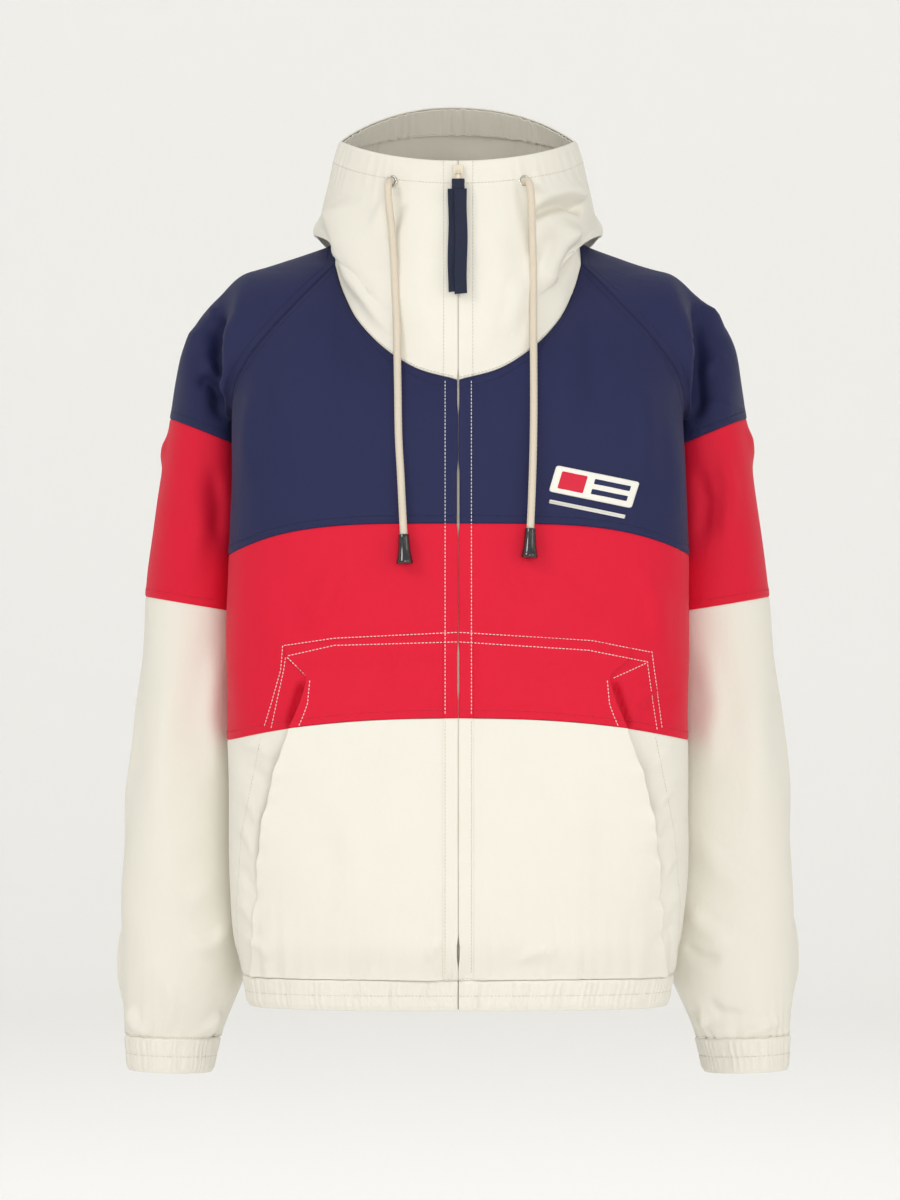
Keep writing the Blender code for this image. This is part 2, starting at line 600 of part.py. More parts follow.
# ---- Sleeves ----
def build_sleeves():
    front, back = raglan_columns()
    quarter = np.linspace(0, NECK_ARC, SHOULDER_COLUMNS // 2 + 1)[:-1]
    around = np.concatenate([quarter, front, back[1:], 360 - quarter[:0:-1]])
    blocks = [
        ("navy", np.array([0, 0.5, 1.0, 1.5, 2.0, 2.6, 3.3, NAVY_END]), NAVY),
        ("red", np.linspace(NAVY_END, RED_END, 4), RED),
        ("cream", np.array([RED_END, 7.0, 8.0, 9.0, 9.7, 10.3, CREAM_END]), CREAM),
    ]
    for tag, side in (("L", 1), ("R", -1)):
        for colour, numbers, finish in blocks:
            grid = numbers[:, None] * np.ones(len(around))
            points, normals = sleeve(around, grid), sleeve_normal(around, grid)
            if colour == "navy":
                normals[0] = raglan_mitre(around)
            name = f"sleeve_{colour}_{tag}"
            wall(name, mirrored(points, side), mirrored(normals, side), finish, seams="bt", closed=True)
        grid = np.array([CREAM_END, CUFF_END])[:, None] * np.ones(len(around))
        points, normals = sleeve(around, grid), sleeve_normal(around, grid)
        shell = mirrored(points, side), mirrored(normals, side)
        wall(f"cuff_{tag}", *shell, CREAM, BAND, BAND_PROUD, seams="b", closed=True)


# ---- Hood ----
def hood_shell(angles, numbers):
    grid = np.asarray(numbers, float)[:, None] * np.ones(len(angles))
    return hood(angles, grid), hood_normal(angles, grid)


def build_hood():
    front, shoulder, back = hood_columns()
    half = np.concatenate([front, shoulder[1:], back[1:]])
    sides = half[half <= HOOD_PANEL_SEAM + 0.01]
    for tag, side in (("L", 1), ("R", -1)):
        points, normals = hood_shell(sides, HOOD_ROWS)
        normals[0] = neck_mitre(sides)
        wall(f"hood_side_{tag}", mirrored(points, side), mirrored(normals, side), CREAM, seams="br")
    middle = half[half >= HOOD_PANEL_SEAM - 0.01]
    points, normals = hood_shell(np.concatenate([middle, 360 - middle[-2::-1]]), HOOD_ROWS)
    seam = neck_mitre(middle)
    normals[0] = np.concatenate([seam, (seam * np.array([-1.0, 1.0, 1.0]))[-2::-1]])
    wall("hood_centre", points, normals, CREAM, seams="blr")
    ring = np.concatenate([[CASING_START], half[1:], 360 - half[-2:0:-1], [360 - CASING_START]])
    points, normals = hood_shell(ring, CASING_ROWS)
    wall("hood_casing", points - normals * (CLOTH + LAID_GAP), normals, CREAM, PATCH)


# ---- What lies on the panels ----
def laid_on_front(name, angles, heights, side, finish, lift=0.0):
    """A patch over the front: the panel's points, moved out."""
    points, normals = torso(angles, heights), torso_normal(angles, heights)
    lift = np.broadcast_to(lift, heights.shape)[..., None]
    outer = points + normals * (LAID_GAP + PATCH + lift)
    return wall(name, mirrored(outer, side), mirrored(normals, side), finish, PATCH)


def pocket_block(name, low, high, shares, side, finish):
    """Pocket patch between two heights, each given as a function of the ring angle."""
    along = np.linspace(0, 1, POCKET_COLUMNS + 1)[None, :]
    share = np.array(shares)[:, None]
    heights = np.full((len(shares), POCKET_COLUMNS + 1), RED_CREAM.middle)
    for _ in range(3):
        mouth = curve_through([m.height for m in POCKET_MOUTH], [m[1:] for m in POCKET_MOUTH], heights)
        width = width_at(heights)
        inner, outer = angle_at(POCKET_INNER, width), angle_at(mouth[..., 0], width)
        angles = inner + (outer - inner) * along
        heights = low(angles) + (high(angles) - low(angles)) * share
    laid_on_front(name, angles, heights, side, finish, mouth[..., 1] * along**3)


def build_pockets():
    def seam(angles, shift):
        return seam_height(RED_CREAM, angles) + shift

    for tag, side in (("L", 1), ("R", -1)):
        edge = SEAM_GAP / 2
        top = partial(seam, shift=POCKET_TOP - RED_CREAM.middle)
        foot = partial(np.full_like, fill_value=HEM_TOP)
        cream_shares = np.linspace(0, 1, CREAM_ROWS + 1)
        cream_shares[0] = 0.015
        above, below = partial(seam, shift=edge), partial(seam, shift=-edge)
        pocket_block(f"pocket_red_{tag}", above, top, (0, 0.4, 0.7, 1), side, RED)
        pocket_block(f"pocket_cream_{tag}", foot, below, cream_shares, side, CREAM)


def build_badge():
    across, up = np.meshgrid(np.linspace(-0.5, 0.5, 7), np.linspace(-0.5, 0.5, 3))
    x = BADGE_X + across * BADGE_WIDE + up * BADGE_HIGH * BADGE_LEAN
    heights = BADGE_Z + up * BADGE_HIGH + across * BADGE_WIDE * BADGE_SLOPE
    laid_on_front("badge", angle_at(x, width_at(heights)), heights, 1, CREAM)


def build_zip_tape():
    angles = np.array([-TAPE_ANGLE, 0.0, TAPE_ANGLE])
    body = angles * RAGLAN[0].ring_angle / FRONT_CORNER
    levels = [
        [HEM_BOTTOM + 0.001],
        np.linspace(HEM_TOP, RED_CREAM.middle, CREAM_ROWS + 1),
        np.linspace(RED_CREAM.middle, NAVY_RED.middle, RED_ROWS + 1)[1:],
        np.linspace(NAVY_RED.middle, float(neck_height(body[0])), NAVY_ROWS + 1)[1:-1],
    ]
    heights = np.concatenate(levels)[:, None] * np.ones(3)
    grid = np.broadcast_to(body, heights.shape)
    upper, upper_normals = hood_shell(angles, HOOD_ROWS[:-1] + (RIM - 0.12,))
    mitre = neck_mitre(np.abs(angles)) * np.stack([np.sign(angles + 1e-9), [1, 1, 1], [1, 1, 1]], axis=-1)
    upper_normals[0] = mitre
    points = np.concatenate([torso(grid, heights), upper])
    normals = np.concatenate([torso_normal(grid, heights), upper_normals])
    wall("zip_tape", points - normals * (CLOTH + LAID_GAP), normals, CREAM, PATCH)


# ---- Hard trims ----
def hood_place(x, z):
    """Point and outward normal on the front of the hood at a given x and height."""
    angle, number = np.array([math.degrees(math.asin(min(1.0, abs(x) / 0.108)))]), np.array([[RIM - 1.0]])
    for _ in range(30):
        here = hood(angle, number)[0, 0]
        ahead = hood(angle, number + 0.02)[0, 0]
        aside = hood(angle + 0.5, number)[0, 0]
        number = number + (z - here[2]) / (ahead[2] - here[2]) * 0.02
        angle = angle + (abs(x) - here[0]) / (aside[0] - here[0]) * 0.5
    point, normal = hood(angle, number)[0, 0], hood_normal(angle, number)[0, 0]
    side = -1.0 if x < 0 else 1.0
    return Vector(mirrored(point, side)), Vector(mirrored(normal, side))


def turned(name, profile, steps, finish, place):
    """Ring turned from a closed profile of (radius, height), moved to its place."""
    points, faces = [], []
    for step in range(steps):
        turn = 2 * math.pi * step / steps
        for radius, height in profile:
            points.append(place @ Vector((radius * math.cos(turn), radius * math.sin(turn), height)))
    count = len(profile)
    for step in range(steps):
        after = (step + 1) % steps
        for k in range(count):
            nxt = (k + 1) % count
            faces.append([step * count + k, after * count + k, after * count + nxt, step * count + nxt])
    return mesh_object(name, [tuple(p) for p in points], faces, finish)


def solid_of_turning(name, profile, steps, finish, place):
    """Solid turned from a profile that starts and ends on the axis."""
    rings = profile[1:-1]
    points = [place @ Vector((0, 0, profile[0][1])), place @ Vector((0, 0, profile[-1][1]))]
    for step in range(steps):
        turn = 2 * math.pi * step / steps
        for radius, height in rings:
            points.append(place @ Vector((radius * math.cos(turn), radius * math.sin(turn), height)))
    count, faces = len(rings), []
    for step in range(steps):
        here, after = 2 + step * count, 2 + (step + 1) % steps * count
        faces.append([0, after, here])
        faces.append([1, here + count - 1, after + count - 1])
        for k in range(count - 1):
            faces.append([here + k, after + k, after + k + 1, here + k + 1])
    return mesh_object(name, [tuple(p) for p in points], faces, finish)


def build_eyelets():
    for tag, side in (("L", 1), ("R", -1)):
        point, normal = hood_place(side * EYELET_X, EYELET_Z)
        turn = normal.to_track_quat("Z", "Y").to_matrix().to_4x4()
        place = Matrix.Translation(point + normal * SEAM_GAP) @ turn
        profile = [
            (EYELET_INNER, 0.0),
            (EYELET_OUTER, 0.0),
            (EYELET_OUTER - 0.0004, EYELET_HIGH * 0.7),
            (EYELET_INNER + 0.0008, EYELET_HIGH),
            (EYELET_INNER, EYELET_HIGH * 0.7),
        ]
        turned(f"eyelet_{tag}", profile, 20, NICKEL, place)


def box(low, high):
    made = bmesh.new()
    bmesh.ops.create_cube(made, size=1)
    size = Vector(high) - Vector(low)
    bmesh.ops.scale(made, vec=size, verts=made.verts)
    bmesh.ops.translate(made, vec=(Vector(low) + Vector(high)) / 2, verts=made.verts)
    return made


def rod(radius, half_length, steps=12):
    """Cylinder along X about the origin."""
    made = bmesh.new()
    bmesh.ops.create_cone(
        made, cap_ends=True, segments=steps, radius1=radius, radius2=radius, depth=2 * half_length
    )
    bmesh.ops.rotate(made, verts=made.verts, matrix=Matrix.Rotation(math.pi / 2, 3, "Y"))
    return made


def helper(name, shape):
    """Hidden object that a Boolean reads."""
    mesh = bpy.data.meshes.new(name)
    shape.to_mesh(mesh)
    shape.free()
    thing = bpy.data.objects.new(name, mesh)
    bpy.context.scene.collection.objects.link(thing)
    thing.hide_render = True
    thing.display_type = "WIRE"
    return thing


def combined(name, shape, steps, finish, place):
    """Object from a first shape and a list of (operation, shape) Booleans, set at its place."""
    mesh = bpy.data.meshes.new(name)
    shape.to_mesh(mesh)
    shape.free()
    thing = add_object(name, mesh, finish)
    thing.matrix_world = place
    for index, (operation, tool) in enumerate(steps):
        other = helper(f"{name}_tool_{index}", tool)
        other.matrix_world = place
        modifier = thing.modifiers.new(f"{operation}_{index}", "BOOLEAN")
        modifier.operation = operation
        modifier.object = other
    return thing


def pivot_frame():
    """Frame of the pull tab's pin: X along the pin, Z up the collar, -Y out of it."""
    point, normal = hood_place(0.0, PIVOT_Z)
    low = hood_place(0.0, PIVOT_Z - 0.10)[0]
    up = (point - low).normalized()
    out = Vector((1, 0, 0)).cross(up).normalized()
    back, origin = -out, point + out * PIVOT_OUT
    turn = Matrix(((1, back.x, up.x), (0, back.y, up.y), (0, back.z, up.z)))
    return Matrix.Translation(origin) @ turn.to_4x4()


def build_zip_pull():
    place = pivot_frame()
    back = PIVOT_OUT - SEAM_GAP - SLIDER_STAND_OFF
    half = SLIDER_WIDE / 2
    top, foot = SLIDER_TOP - PIVOT_Z, SLIDER_FOOT - PIVOT_Z
    plate = box((-half, back - SLIDER_THICK, foot), (half, back, top))
    ear = 0.0019
    steps = [
        ("UNION", box((-half + 0.001, -0.0012, -0.0012), (-ear, back - SLIDER_THICK / 2, 0.0016))),
        ("UNION", box((ear, -0.0012, -0.0012), (half - 0.001, back - SLIDER_THICK / 2, 0.0016))),
        ("UNION", rod(PIN_RADIUS, ear + 0.0006)),
    ]
    combined("zip_slider", plate, steps, ENAMEL, place)
    neck = ear - SEAM_GAP
    blade = box((-neck, -TAB_THICK / 2, -0.0075), (neck, TAB_THICK / 2, -TAB_HOLE - 0.0004))
    eye = rod(TAB_EYE, neck, 16)
    grip = box((-TAB_WIDE / 2, -TAB_THICK / 2, -TAB_LONG), (TAB_WIDE / 2, TAB_THICK / 2, -0.0068))
    steps = [("UNION", blade), ("UNION", grip), ("DIFFERENCE", rod(TAB_HOLE, ear * 2))]
    combined("pull_tab", eye, steps, ENAMEL, place)
    half = RIBBON_WIDE / 2
    loop = box((-half, -LOOP_DEEP / 2, -LOOP_FOOT), (half, LOOP_DEEP / 2, -LOOP_TOP))
    slot = box(
        (-TAB_WIDE / 2 - SEAM_GAP, -TAB_THICK / 2 - SEAM_GAP, -TAB_LONG - SEAM_GAP),
        (TAB_WIDE / 2 + SEAM_GAP, TAB_THICK / 2 + SEAM_GAP, 0.0),
    )
    top = -LOOP_FOOT + 0.0006
    front_tail = box((-0.0030, -0.0015, -TAIL_ENDS[1]), (0.0075, -0.0015 + RIBBON_THICK, top))
    back_tail = box((-0.0085, -0.0008, -TAIL_ENDS[0]), (0.0020, -0.0008 + RIBBON_THICK, top))
    steps = [("DIFFERENCE", slot), ("UNION", front_tail), ("UNION", back_tail)]
    combined("pull_ribbon", loop, steps, RIBBON, place)


# ---- Cords ----
def smooth_route(points, spacing):
    """Natural cubic spline through the points, read about every `spacing` metres."""
    points = np.asarray(points, float)
    knots = np.concatenate([[0.0], np.cumsum(np.linalg.norm(np.diff(points, axis=0), axis=1))])
    span = np.diff(knots)
    system, right = np.eye(len(points)), np.zeros_like(points)
    for k in range(1, len(points) - 1):
        system[k, k - 1 : k + 2] = span[k - 1], 2 * (span[k - 1] + span[k]), span[k]
        after, before = points[k + 1] - points[k], points[k] - points[k - 1]
        right[k] = 6 * (after / span[k] - before / span[k - 1])
    bend = np.linalg.solve(system, right)
    at = np.linspace(0, knots[-1], round(knots[-1] / spacing) + 1)
    i = np.clip(np.searchsorted(knots, at, side="right") - 1, 0, len(span) - 1)
    before = ((knots[i + 1] - at) / span[i])[:, None]
    after = 1 - before
    curved = (before**3 - before) * bend[i] + (after**3 - after) * bend[i + 1]
    return before * points[i] + after * points[i + 1] + curved * span[i][:, None] ** 2 / 6


def build_cord(name, route):
    path = smooth_route(route, CORD_SPACING)
    curve = bpy.data.curves.new(name, "CURVE")
    curve.dimensions = "3D"
    curve.bevel_depth, curve.bevel_resolution = CORD_RADIUS, 2
    curve.use_fill_caps = True
    spline = curve.splines.new("POLY")
    spline.points.add(len(path) - 1)
    for point, place in zip(spline.points, path):
        point.co = (*place, 1)
    add_object(name, curve, CORD)


def build_cord_end(name, route, foot):
    """Bell-shaped end piece, with a socket that the cord's end sits in."""
    foot = Vector(foot)
    along = (Vector(route[-1]) - foot).normalized()
    place = Matrix.Translation(foot) @ along.to_track_quat("Z", "Y").to_matrix().to_4x4()
    socket = CORD_RADIUS + SEAM_GAP
    seat = (Vector(route[-1]) - foot).length - SEAM_GAP
    profile = [
        (0, seat),
        (socket, seat),
        (socket, seat + CORD_SOCKET - 0.0003),
        (socket + 0.0003, seat + CORD_SOCKET),
        (CORD_END_TOP - 0.0004, seat + CORD_SOCKET),
        (CORD_END_TOP, seat + CORD_SOCKET - 0.0004),
        (CORD_END_WAIST, CORD_END_LENGTH * 0.45),
        (CORD_END_FOOT, 0.0022),
        (CORD_END_FOOT, 0.0008),
        (CORD_END_FOOT - 0.0012, 0),
        (0, 0),
    ]
    solid_of_turning(name, profile, 20, BLACK, place)


def build_cords():
    for tag, route in CORD_ROUTES.items():
        build_cord(f"cord_{tag}", route)
        build_cord_end(f"cord_end_{tag}", route, CORD_FEET[tag])


def main():
    for thing in list(bpy.data.objects):
        bpy.data.objects.remove(thing, do_unlink=True)
    build_body()
    build_hem_band()
    build_sleeves()
    build_hood()
    build_pockets()
    build_badge()
    build_zip_tape()
    build_eyelets()
    build_zip_pull()
    build_cords()


main()
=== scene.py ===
"""Looks of a hooded raglan windbreaker: creased cloth panels, topstitching, zip, cords and trims.

Metres, +Z up, the front faces -Y and the wearer's left is +X. The panels lie on the same three
surfaces as the solids: the torso (rings by height), the sleeve (rings from the raglan seam to the
cuff) and the hood (rings from the neckline to the rim). Folds and gathers are added square to them.
"""

import logging
import math
from collections.abc import Callable, Sequence
from dataclasses import dataclass, field
from enum import Enum
from typing import NamedTuple

import bmesh
import bpy
import numpy as np
from mathutils import Matrix, Vector
from mathutils.bvhtree import BVHTree

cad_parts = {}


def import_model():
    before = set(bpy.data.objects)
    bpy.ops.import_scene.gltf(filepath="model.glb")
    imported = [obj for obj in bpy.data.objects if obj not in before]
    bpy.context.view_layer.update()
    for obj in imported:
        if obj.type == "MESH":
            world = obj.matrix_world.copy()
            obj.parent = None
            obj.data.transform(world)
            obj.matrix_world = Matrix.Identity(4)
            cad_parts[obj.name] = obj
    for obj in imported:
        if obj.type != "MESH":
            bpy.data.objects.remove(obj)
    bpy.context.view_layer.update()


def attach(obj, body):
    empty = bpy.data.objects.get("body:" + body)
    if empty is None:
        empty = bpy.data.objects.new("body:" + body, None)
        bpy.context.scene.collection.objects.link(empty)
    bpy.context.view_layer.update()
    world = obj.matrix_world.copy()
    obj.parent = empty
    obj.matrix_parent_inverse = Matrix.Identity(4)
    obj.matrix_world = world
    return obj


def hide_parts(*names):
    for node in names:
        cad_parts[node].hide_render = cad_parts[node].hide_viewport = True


LOG = logging.getLogger("jacket")

# ---- Sizes shared with the solids ----
CLOTH, BAND, BAND_PROUD = 0.0015, 0.0030, 0.0015
GRAIN = 0.0033  # spacing of the points on a panel
HEM_TOP, HEM_BOTTOM = -0.620, -0.646
FRONT_POWER, BACK_POWER, BACK_TUCK = 2.8, 2.3, 0.13
SIDE_SEAM = 105.0  # ring angle of the side seam and of the underarm point
SHOULDER_NECK = (0.103, 0.012, 0.008)
BACK_NECK_HEIGHT, BACK_NECK_DROP = 0.022, 0.010
NECK_ARC, SLEEVE_POWER = 20.0, 2.2
FRONT_CORNER, BACK_CORNER, HOOD_PANEL_SEAM = 70.0, 125.0, 138.75
HOOD_SLOPE = 1.5
POCKET_TOP, POCKET_INNER = -0.331, 0.013


class TorsoRing(NamedTuple):
    """Ring of the body; depths are from side_y to the middle of the front and of the back."""

    height: float
    half_width: float
    front: float
    back: float
    side_y: float


class Place(NamedTuple):
    """Point of a seam on the body, by ring angle and height."""

    ring_angle: float
    height: float


class RaglanStation(NamedTuple):
    """Point of the raglan seam: round the sleeve, 0 is over the shoulder and 180 under the arm."""

    around: float
    ring_angle: float
    height: float


class ArmRing(NamedTuple):
    """Ring of the arm below the cap: outer and inner edge, middle of the depth and half of the depth."""

    outer_x: float
    outer_z: float
    inner_x: float
    inner_z: float
    y: float
    half_depth: float


class HoodRing(NamedTuple):
    """Ring of the hood: middle of the front, widest point and middle of the back."""

    front_y: float
    front_z: float
    side_x: float
    side_y: float
    side_z: float
    back_y: float
    back_z: float


class MouthPoint(NamedTuple):
    """Point of the pocket's mouth, and how far its edge stands off the front."""

    height: float
    x: float
    gape: float


class BlockSeam(NamedTuple):
    """Seam between colour blocks: height at the middle, droop at the sides and its power."""

    middle: float
    droop: float
    power: float


TORSO = [
    TorsoRing(-0.646, 0.178, 0.088, 0.105, -0.025),
    TorsoRing(-0.620, 0.183, 0.092, 0.110, -0.025),
    TorsoRing(-0.587, 0.191, 0.100, 0.125, -0.028),
    TorsoRing(-0.528, 0.196, 0.103, 0.138, -0.030),
    TorsoRing(-0.423, 0.197, 0.103, 0.146, -0.032),
    TorsoRing(-0.300, 0.196, 0.101, 0.150, -0.032),
    TorsoRing(-0.200, 0.194, 0.098, 0.152, -0.030),
    TorsoRing(-0.150, 0.193, 0.095, 0.150, -0.028),
    TorsoRing(-0.110, 0.192, 0.089, 0.140, -0.022),
    TorsoRing(-0.070, 0.191, 0.075, 0.120, -0.012),
    TorsoRing(-0.035, 0.190, 0.058, 0.098, 0.000),
    TorsoRing(-0.010, 0.189, 0.044, 0.072, 0.008),
    TorsoRing(0.025, 0.187, 0.030, 0.046, 0.014),
]
NAVY_RED, RED_CREAM = BlockSeam(-0.237, 0.026, 4.0), BlockSeam(-0.400, 0.020, 2.5)
NECKLINE = [
    Place(0.0, -0.116),
    Place(9.0, -0.108),
    Place(16.3, -0.094),
    Place(25.0, -0.064),
    Place(29.3, -0.034),
    Place(31.0, -0.015),
]
RAGLAN = [
    RaglanStation(20, 31.0, -0.015),
    RaglanStation(52, 43.4, -0.056),
    RaglanStation(88, 57.0, -0.091),
    RaglanStation(124, 74.0, -0.120),
    RaglanStation(152, 90.0, -0.138),
    RaglanStation(180, SIDE_SEAM, -0.146),
    RaglanStation(208, 118.0, -0.138),
    RaglanStation(244, 128.0, -0.108),
    RaglanStation(280, 138.0, -0.068),
    RaglanStation(314, 147.0, -0.022),
    RaglanStation(340, 153.0, 0.012),
]
# Rings of the sleeve cap, each through four points: over, in front, under and behind the arm.
CAP = [
    ((0.165, 0.015, -0.017), (0.196, -0.048, -0.078), (0.190, 0.022, -0.150), (0.178, 0.088, -0.070)),
    ((0.214, 0.018, -0.047), (0.199, -0.012, -0.098), (0.187, 0.030, -0.155), (0.198, 0.098, -0.090)),
    ((0.240, 0.028, -0.090), (0.214, -0.012, -0.122), (0.181, 0.038, -0.162), (0.209, 0.108, -0.115)),
]
ARM = [
    ArmRing(0.2505, -0.144, 0.178, -0.172, 0.050, 0.064),
    ArmRing(0.2610, -0.220, 0.178, -0.236, 0.052, 0.065),
    ArmRing(0.2705, -0.298, 0.179, -0.313, 0.052, 0.064),
    ArmRing(0.2790, -0.412, 0.179, -0.425, 0.050, 0.062),
    ArmRing(0.2860, -0.499, 0.178, -0.510, 0.046, 0.060),
    ArmRing(0.2920, -0.572, 0.176, -0.580, 0.042, 0.058),
    ArmRing(0.2920, -0.618, 0.184, -0.622, 0.040, 0.054),
    ArmRing(0.2870, -0.677, 0.207, -0.679, 0.038, 0.040),
    ArmRing(0.2850, -0.707, 0.214, -0.709, 0.037, 0.036),
]
NAVY_END, RED_END, CREAM_END, CUFF_END = 4.0, 6.0, 11.0, 12.0
HOOD = [
    HoodRing(-0.1150, -0.092, 0.1022, -0.002, 0.033, 0.067, 0.038),
    HoodRing(-0.1140, -0.066, 0.1120, 0.020, 0.028, 0.086, 0.040),
    HoodRing(-0.1110, -0.040, 0.1190, 0.028, 0.020, 0.114, 0.006),
    HoodRing(-0.1060, -0.014, 0.1220, 0.034, 0.014, 0.141, -0.030),
    HoodRing(-0.1010, 0.010, 0.1180, 0.030, 0.036, 0.164, -0.006),
    HoodRing(-0.0960, 0.032, 0.1120, 0.020, 0.060, 0.160, 0.045),
    HoodRing(-0.0910, 0.052, 0.1070, 0.011, 0.079, 0.136, 0.094),
    HoodRing(-0.0870, 0.070, 0.1020, 0.004, 0.094, 0.104, 0.133),
]
RIM = float(len(HOOD))
POCKET_MOUTH = [
    MouthPoint(-0.620, 0.1740, 0.0006),
    MouthPoint(-0.590, 0.1725, 0.0006),
    MouthPoint(-0.553, 0.1690, 0.0020),
    MouthPoint(-0.493, 0.1600, 0.0085),
    MouthPoint(-0.447, 0.1500, 0.0095),
    MouthPoint(-0.409, 0.1390, 0.0065),
    MouthPoint(-0.378, 0.1290, 0.0015),
    MouthPoint(-0.366, 0.1270, 0.0000),
    MouthPoint(-0.348, 0.1440, 0.0000),
    MouthPoint(-0.330, 0.1460, 0.0000),
]


# ---- Curves and surfaces ----
def curve_through(knots: Sequence[float], rows: Sequence, at: np.ndarray) -> np.ndarray:
    """Shape-keeping cubic through rows of values.

    Args:
        knots: Rising positions of the rows.
        rows: One row of values for each knot.
        at: Positions to read it at.

    Returns:
        The values at each position, along a new last axis.
    """
    knots, rows, at = np.asarray(knots, float), np.asarray(rows, float), np.asarray(at, float)
    width = np.diff(knots).reshape((-1,) + (1,) * (rows.ndim - 1))
    rise = np.diff(rows, axis=0) / width
    product = rise[:-1] * rise[1:]
    total = np.where(product > 0, rise[:-1] + rise[1:], 1.0)
    slopes = np.concatenate([rise[:1], np.where(product > 0, 2 * product / total, 0.0), rise[-1:]])
    i = np.clip(np.searchsorted(knots, at, side="right") - 1, 0, len(knots) - 2)
    span = np.diff(knots)[i]
    t = ((at - knots[i]) / span)[..., None]
    span = span[..., None]
    if rows.ndim == 3:
        column = np.broadcast_to(np.arange(rows.shape[1]), at.shape)
        low, high = rows[i, column], rows[i + 1, column]
        low_slope, high_slope = slopes[i, column], slopes[i + 1, column]
    else:
        low, high, low_slope, high_slope = rows[i], rows[i + 1], slopes[i], slopes[i + 1]
    return (
        (1 + 2 * t) * (1 - t) ** 2 * low
        + t * (1 - t) ** 2 * span * low_slope
        + t * t * (3 - 2 * t) * high
        + t * t * (t - 1) * span * high_slope
    )


def unit(vectors: np.ndarray) -> np.ndarray:
    """The same directions at length 1."""
    return vectors / np.maximum(np.linalg.norm(vectors, axis=-1, keepdims=True), 1e-12)


def squircle(turn: np.ndarray, power: float) -> np.ndarray:
    """Reach of a superellipse at a polar angle."""
    return (np.abs(np.sin(turn)) ** power + np.abs(np.cos(turn)) ** power) ** (-1 / power)


def smooth(low: float, high: float, value: np.ndarray) -> np.ndarray:
    """Soft step from 0 at `low` to 1 at `high`."""
    t = np.clip((np.asarray(value, float) - low) / (high - low), 0, 1)
    return t * t * (3 - 2 * t)


def mirrored(points: np.ndarray, side: int) -> np.ndarray:
    """Points of the left side moved to the given side: 1 left, -1 right."""
    return points * np.array([side, 1.0, 1.0])


def torso(angle: np.ndarray, height: np.ndarray) -> np.ndarray:
    """Points of the body at ring angles (0 mid front, 90 left side, 180 mid back) and heights.

    Args:
        angle: Ring angles in degrees.
        height: Heights.

    Returns:
        The points.
    """
    angle, height = np.broadcast_arrays(np.asarray(angle, float), np.asarray(height, float))
    ring = curve_through([r.height for r in TORSO], [r[1:] for r in TORSO], height)
    half_width, front, back, side_y = np.moveaxis(ring, -1, 0)
    turn = np.radians(angle)
    across, along = np.sin(turn), np.cos(turn)
    tuck = 1 - BACK_TUCK * np.sin(2 * turn) ** 2
    reach = np.where(along > 0, squircle(turn, FRONT_POWER), squircle(turn, BACK_POWER) * tuck)
    depth = np.where(along > 0, front, back)
    return np.stack([half_width * across * reach, side_y - depth * along * reach, height], axis=-1)


def width_at(height: np.ndarray) -> np.ndarray:
    """Half width of the body at each height."""
    return curve_through([r.height for r in TORSO], [[r.half_width] for r in TORSO], height)[..., 0]


def angle_at(x: np.ndarray, height: np.ndarray) -> np.ndarray:
    """Ring angle on the front of the body at a distance from the middle."""
    share = np.clip(np.asarray(x, float) / width_at(height), 0.0, 0.999)
    return np.degrees(np.arctan2(share, (1 - share**FRONT_POWER) ** (1 / FRONT_POWER)))


def seam_height(seam: BlockSeam, angle: np.ndarray) -> np.ndarray:
    """Height of a colour seam at each ring angle.

    Args:
        seam: The seam.
        angle: Ring angles in degrees.

    Returns:
        The heights.
    """
    turn = np.radians(angle)
    share = np.abs(np.sin(turn)) * squircle(turn, FRONT_POWER)
    return seam.middle - seam.droop * share**seam.power


def raglan_at(around: np.ndarray) -> tuple[np.ndarray, np.ndarray]:
    """Ring angle and height of the raglan seam at sleeve angles."""
    found = curve_through([r.around for r in RAGLAN], [r[1:] for r in RAGLAN], around)
    return found[..., 0], found[..., 1]


def neck_height(angle: np.ndarray) -> np.ndarray:
    """Height of the neckline at ring angles of the body's front or back.

    Args:
        angle: Ring angles in degrees.

    Returns:
        The heights.
    """
    angle = np.abs(angle)
    front = curve_through([p.ring_angle for p in NECKLINE], [[p.height] for p in NECKLINE], angle)
    share = (180 - angle) / (180 - RAGLAN[-1].ring_angle)
    return np.where(angle < 90, front[..., 0], BACK_NECK_HEIGHT - BACK_NECK_DROP * share**2)


def neck_arc(share: np.ndarray) -> np.ndarray:
    """Neckline across the top of the sleeve, from the front corner (0) to the back corner (1).

    Args:
        share: Shares from 0 to 1.

    Returns:
        The points.
    """
    first, last = RAGLAN[0], RAGLAN[-1]
    corners = [torso(first.ring_angle, first.height), SHOULDER_NECK, torso(last.ring_angle, last.height)]
    return curve_through([0, 0.5, 1], corners, share)


def sleeve_seam(around: np.ndarray) -> np.ndarray:
    """Seam of the sleeve with the body, and with the hood across the shoulder.

    Args:
        around: Angles round the sleeve in degrees.

    Returns:
        The points.
    """
    wrapped = (np.asarray(around, float) + 180) % 360 - 180
    angle, height = raglan_at(np.clip(np.asarray(around, float) % 360, NECK_ARC, 360 - NECK_ARC))
    arc = neck_arc(np.clip((NECK_ARC - wrapped) / (2 * NECK_ARC), 0, 1))
    return np.where((np.abs(wrapped) < NECK_ARC)[..., None], arc, torso(angle, height))


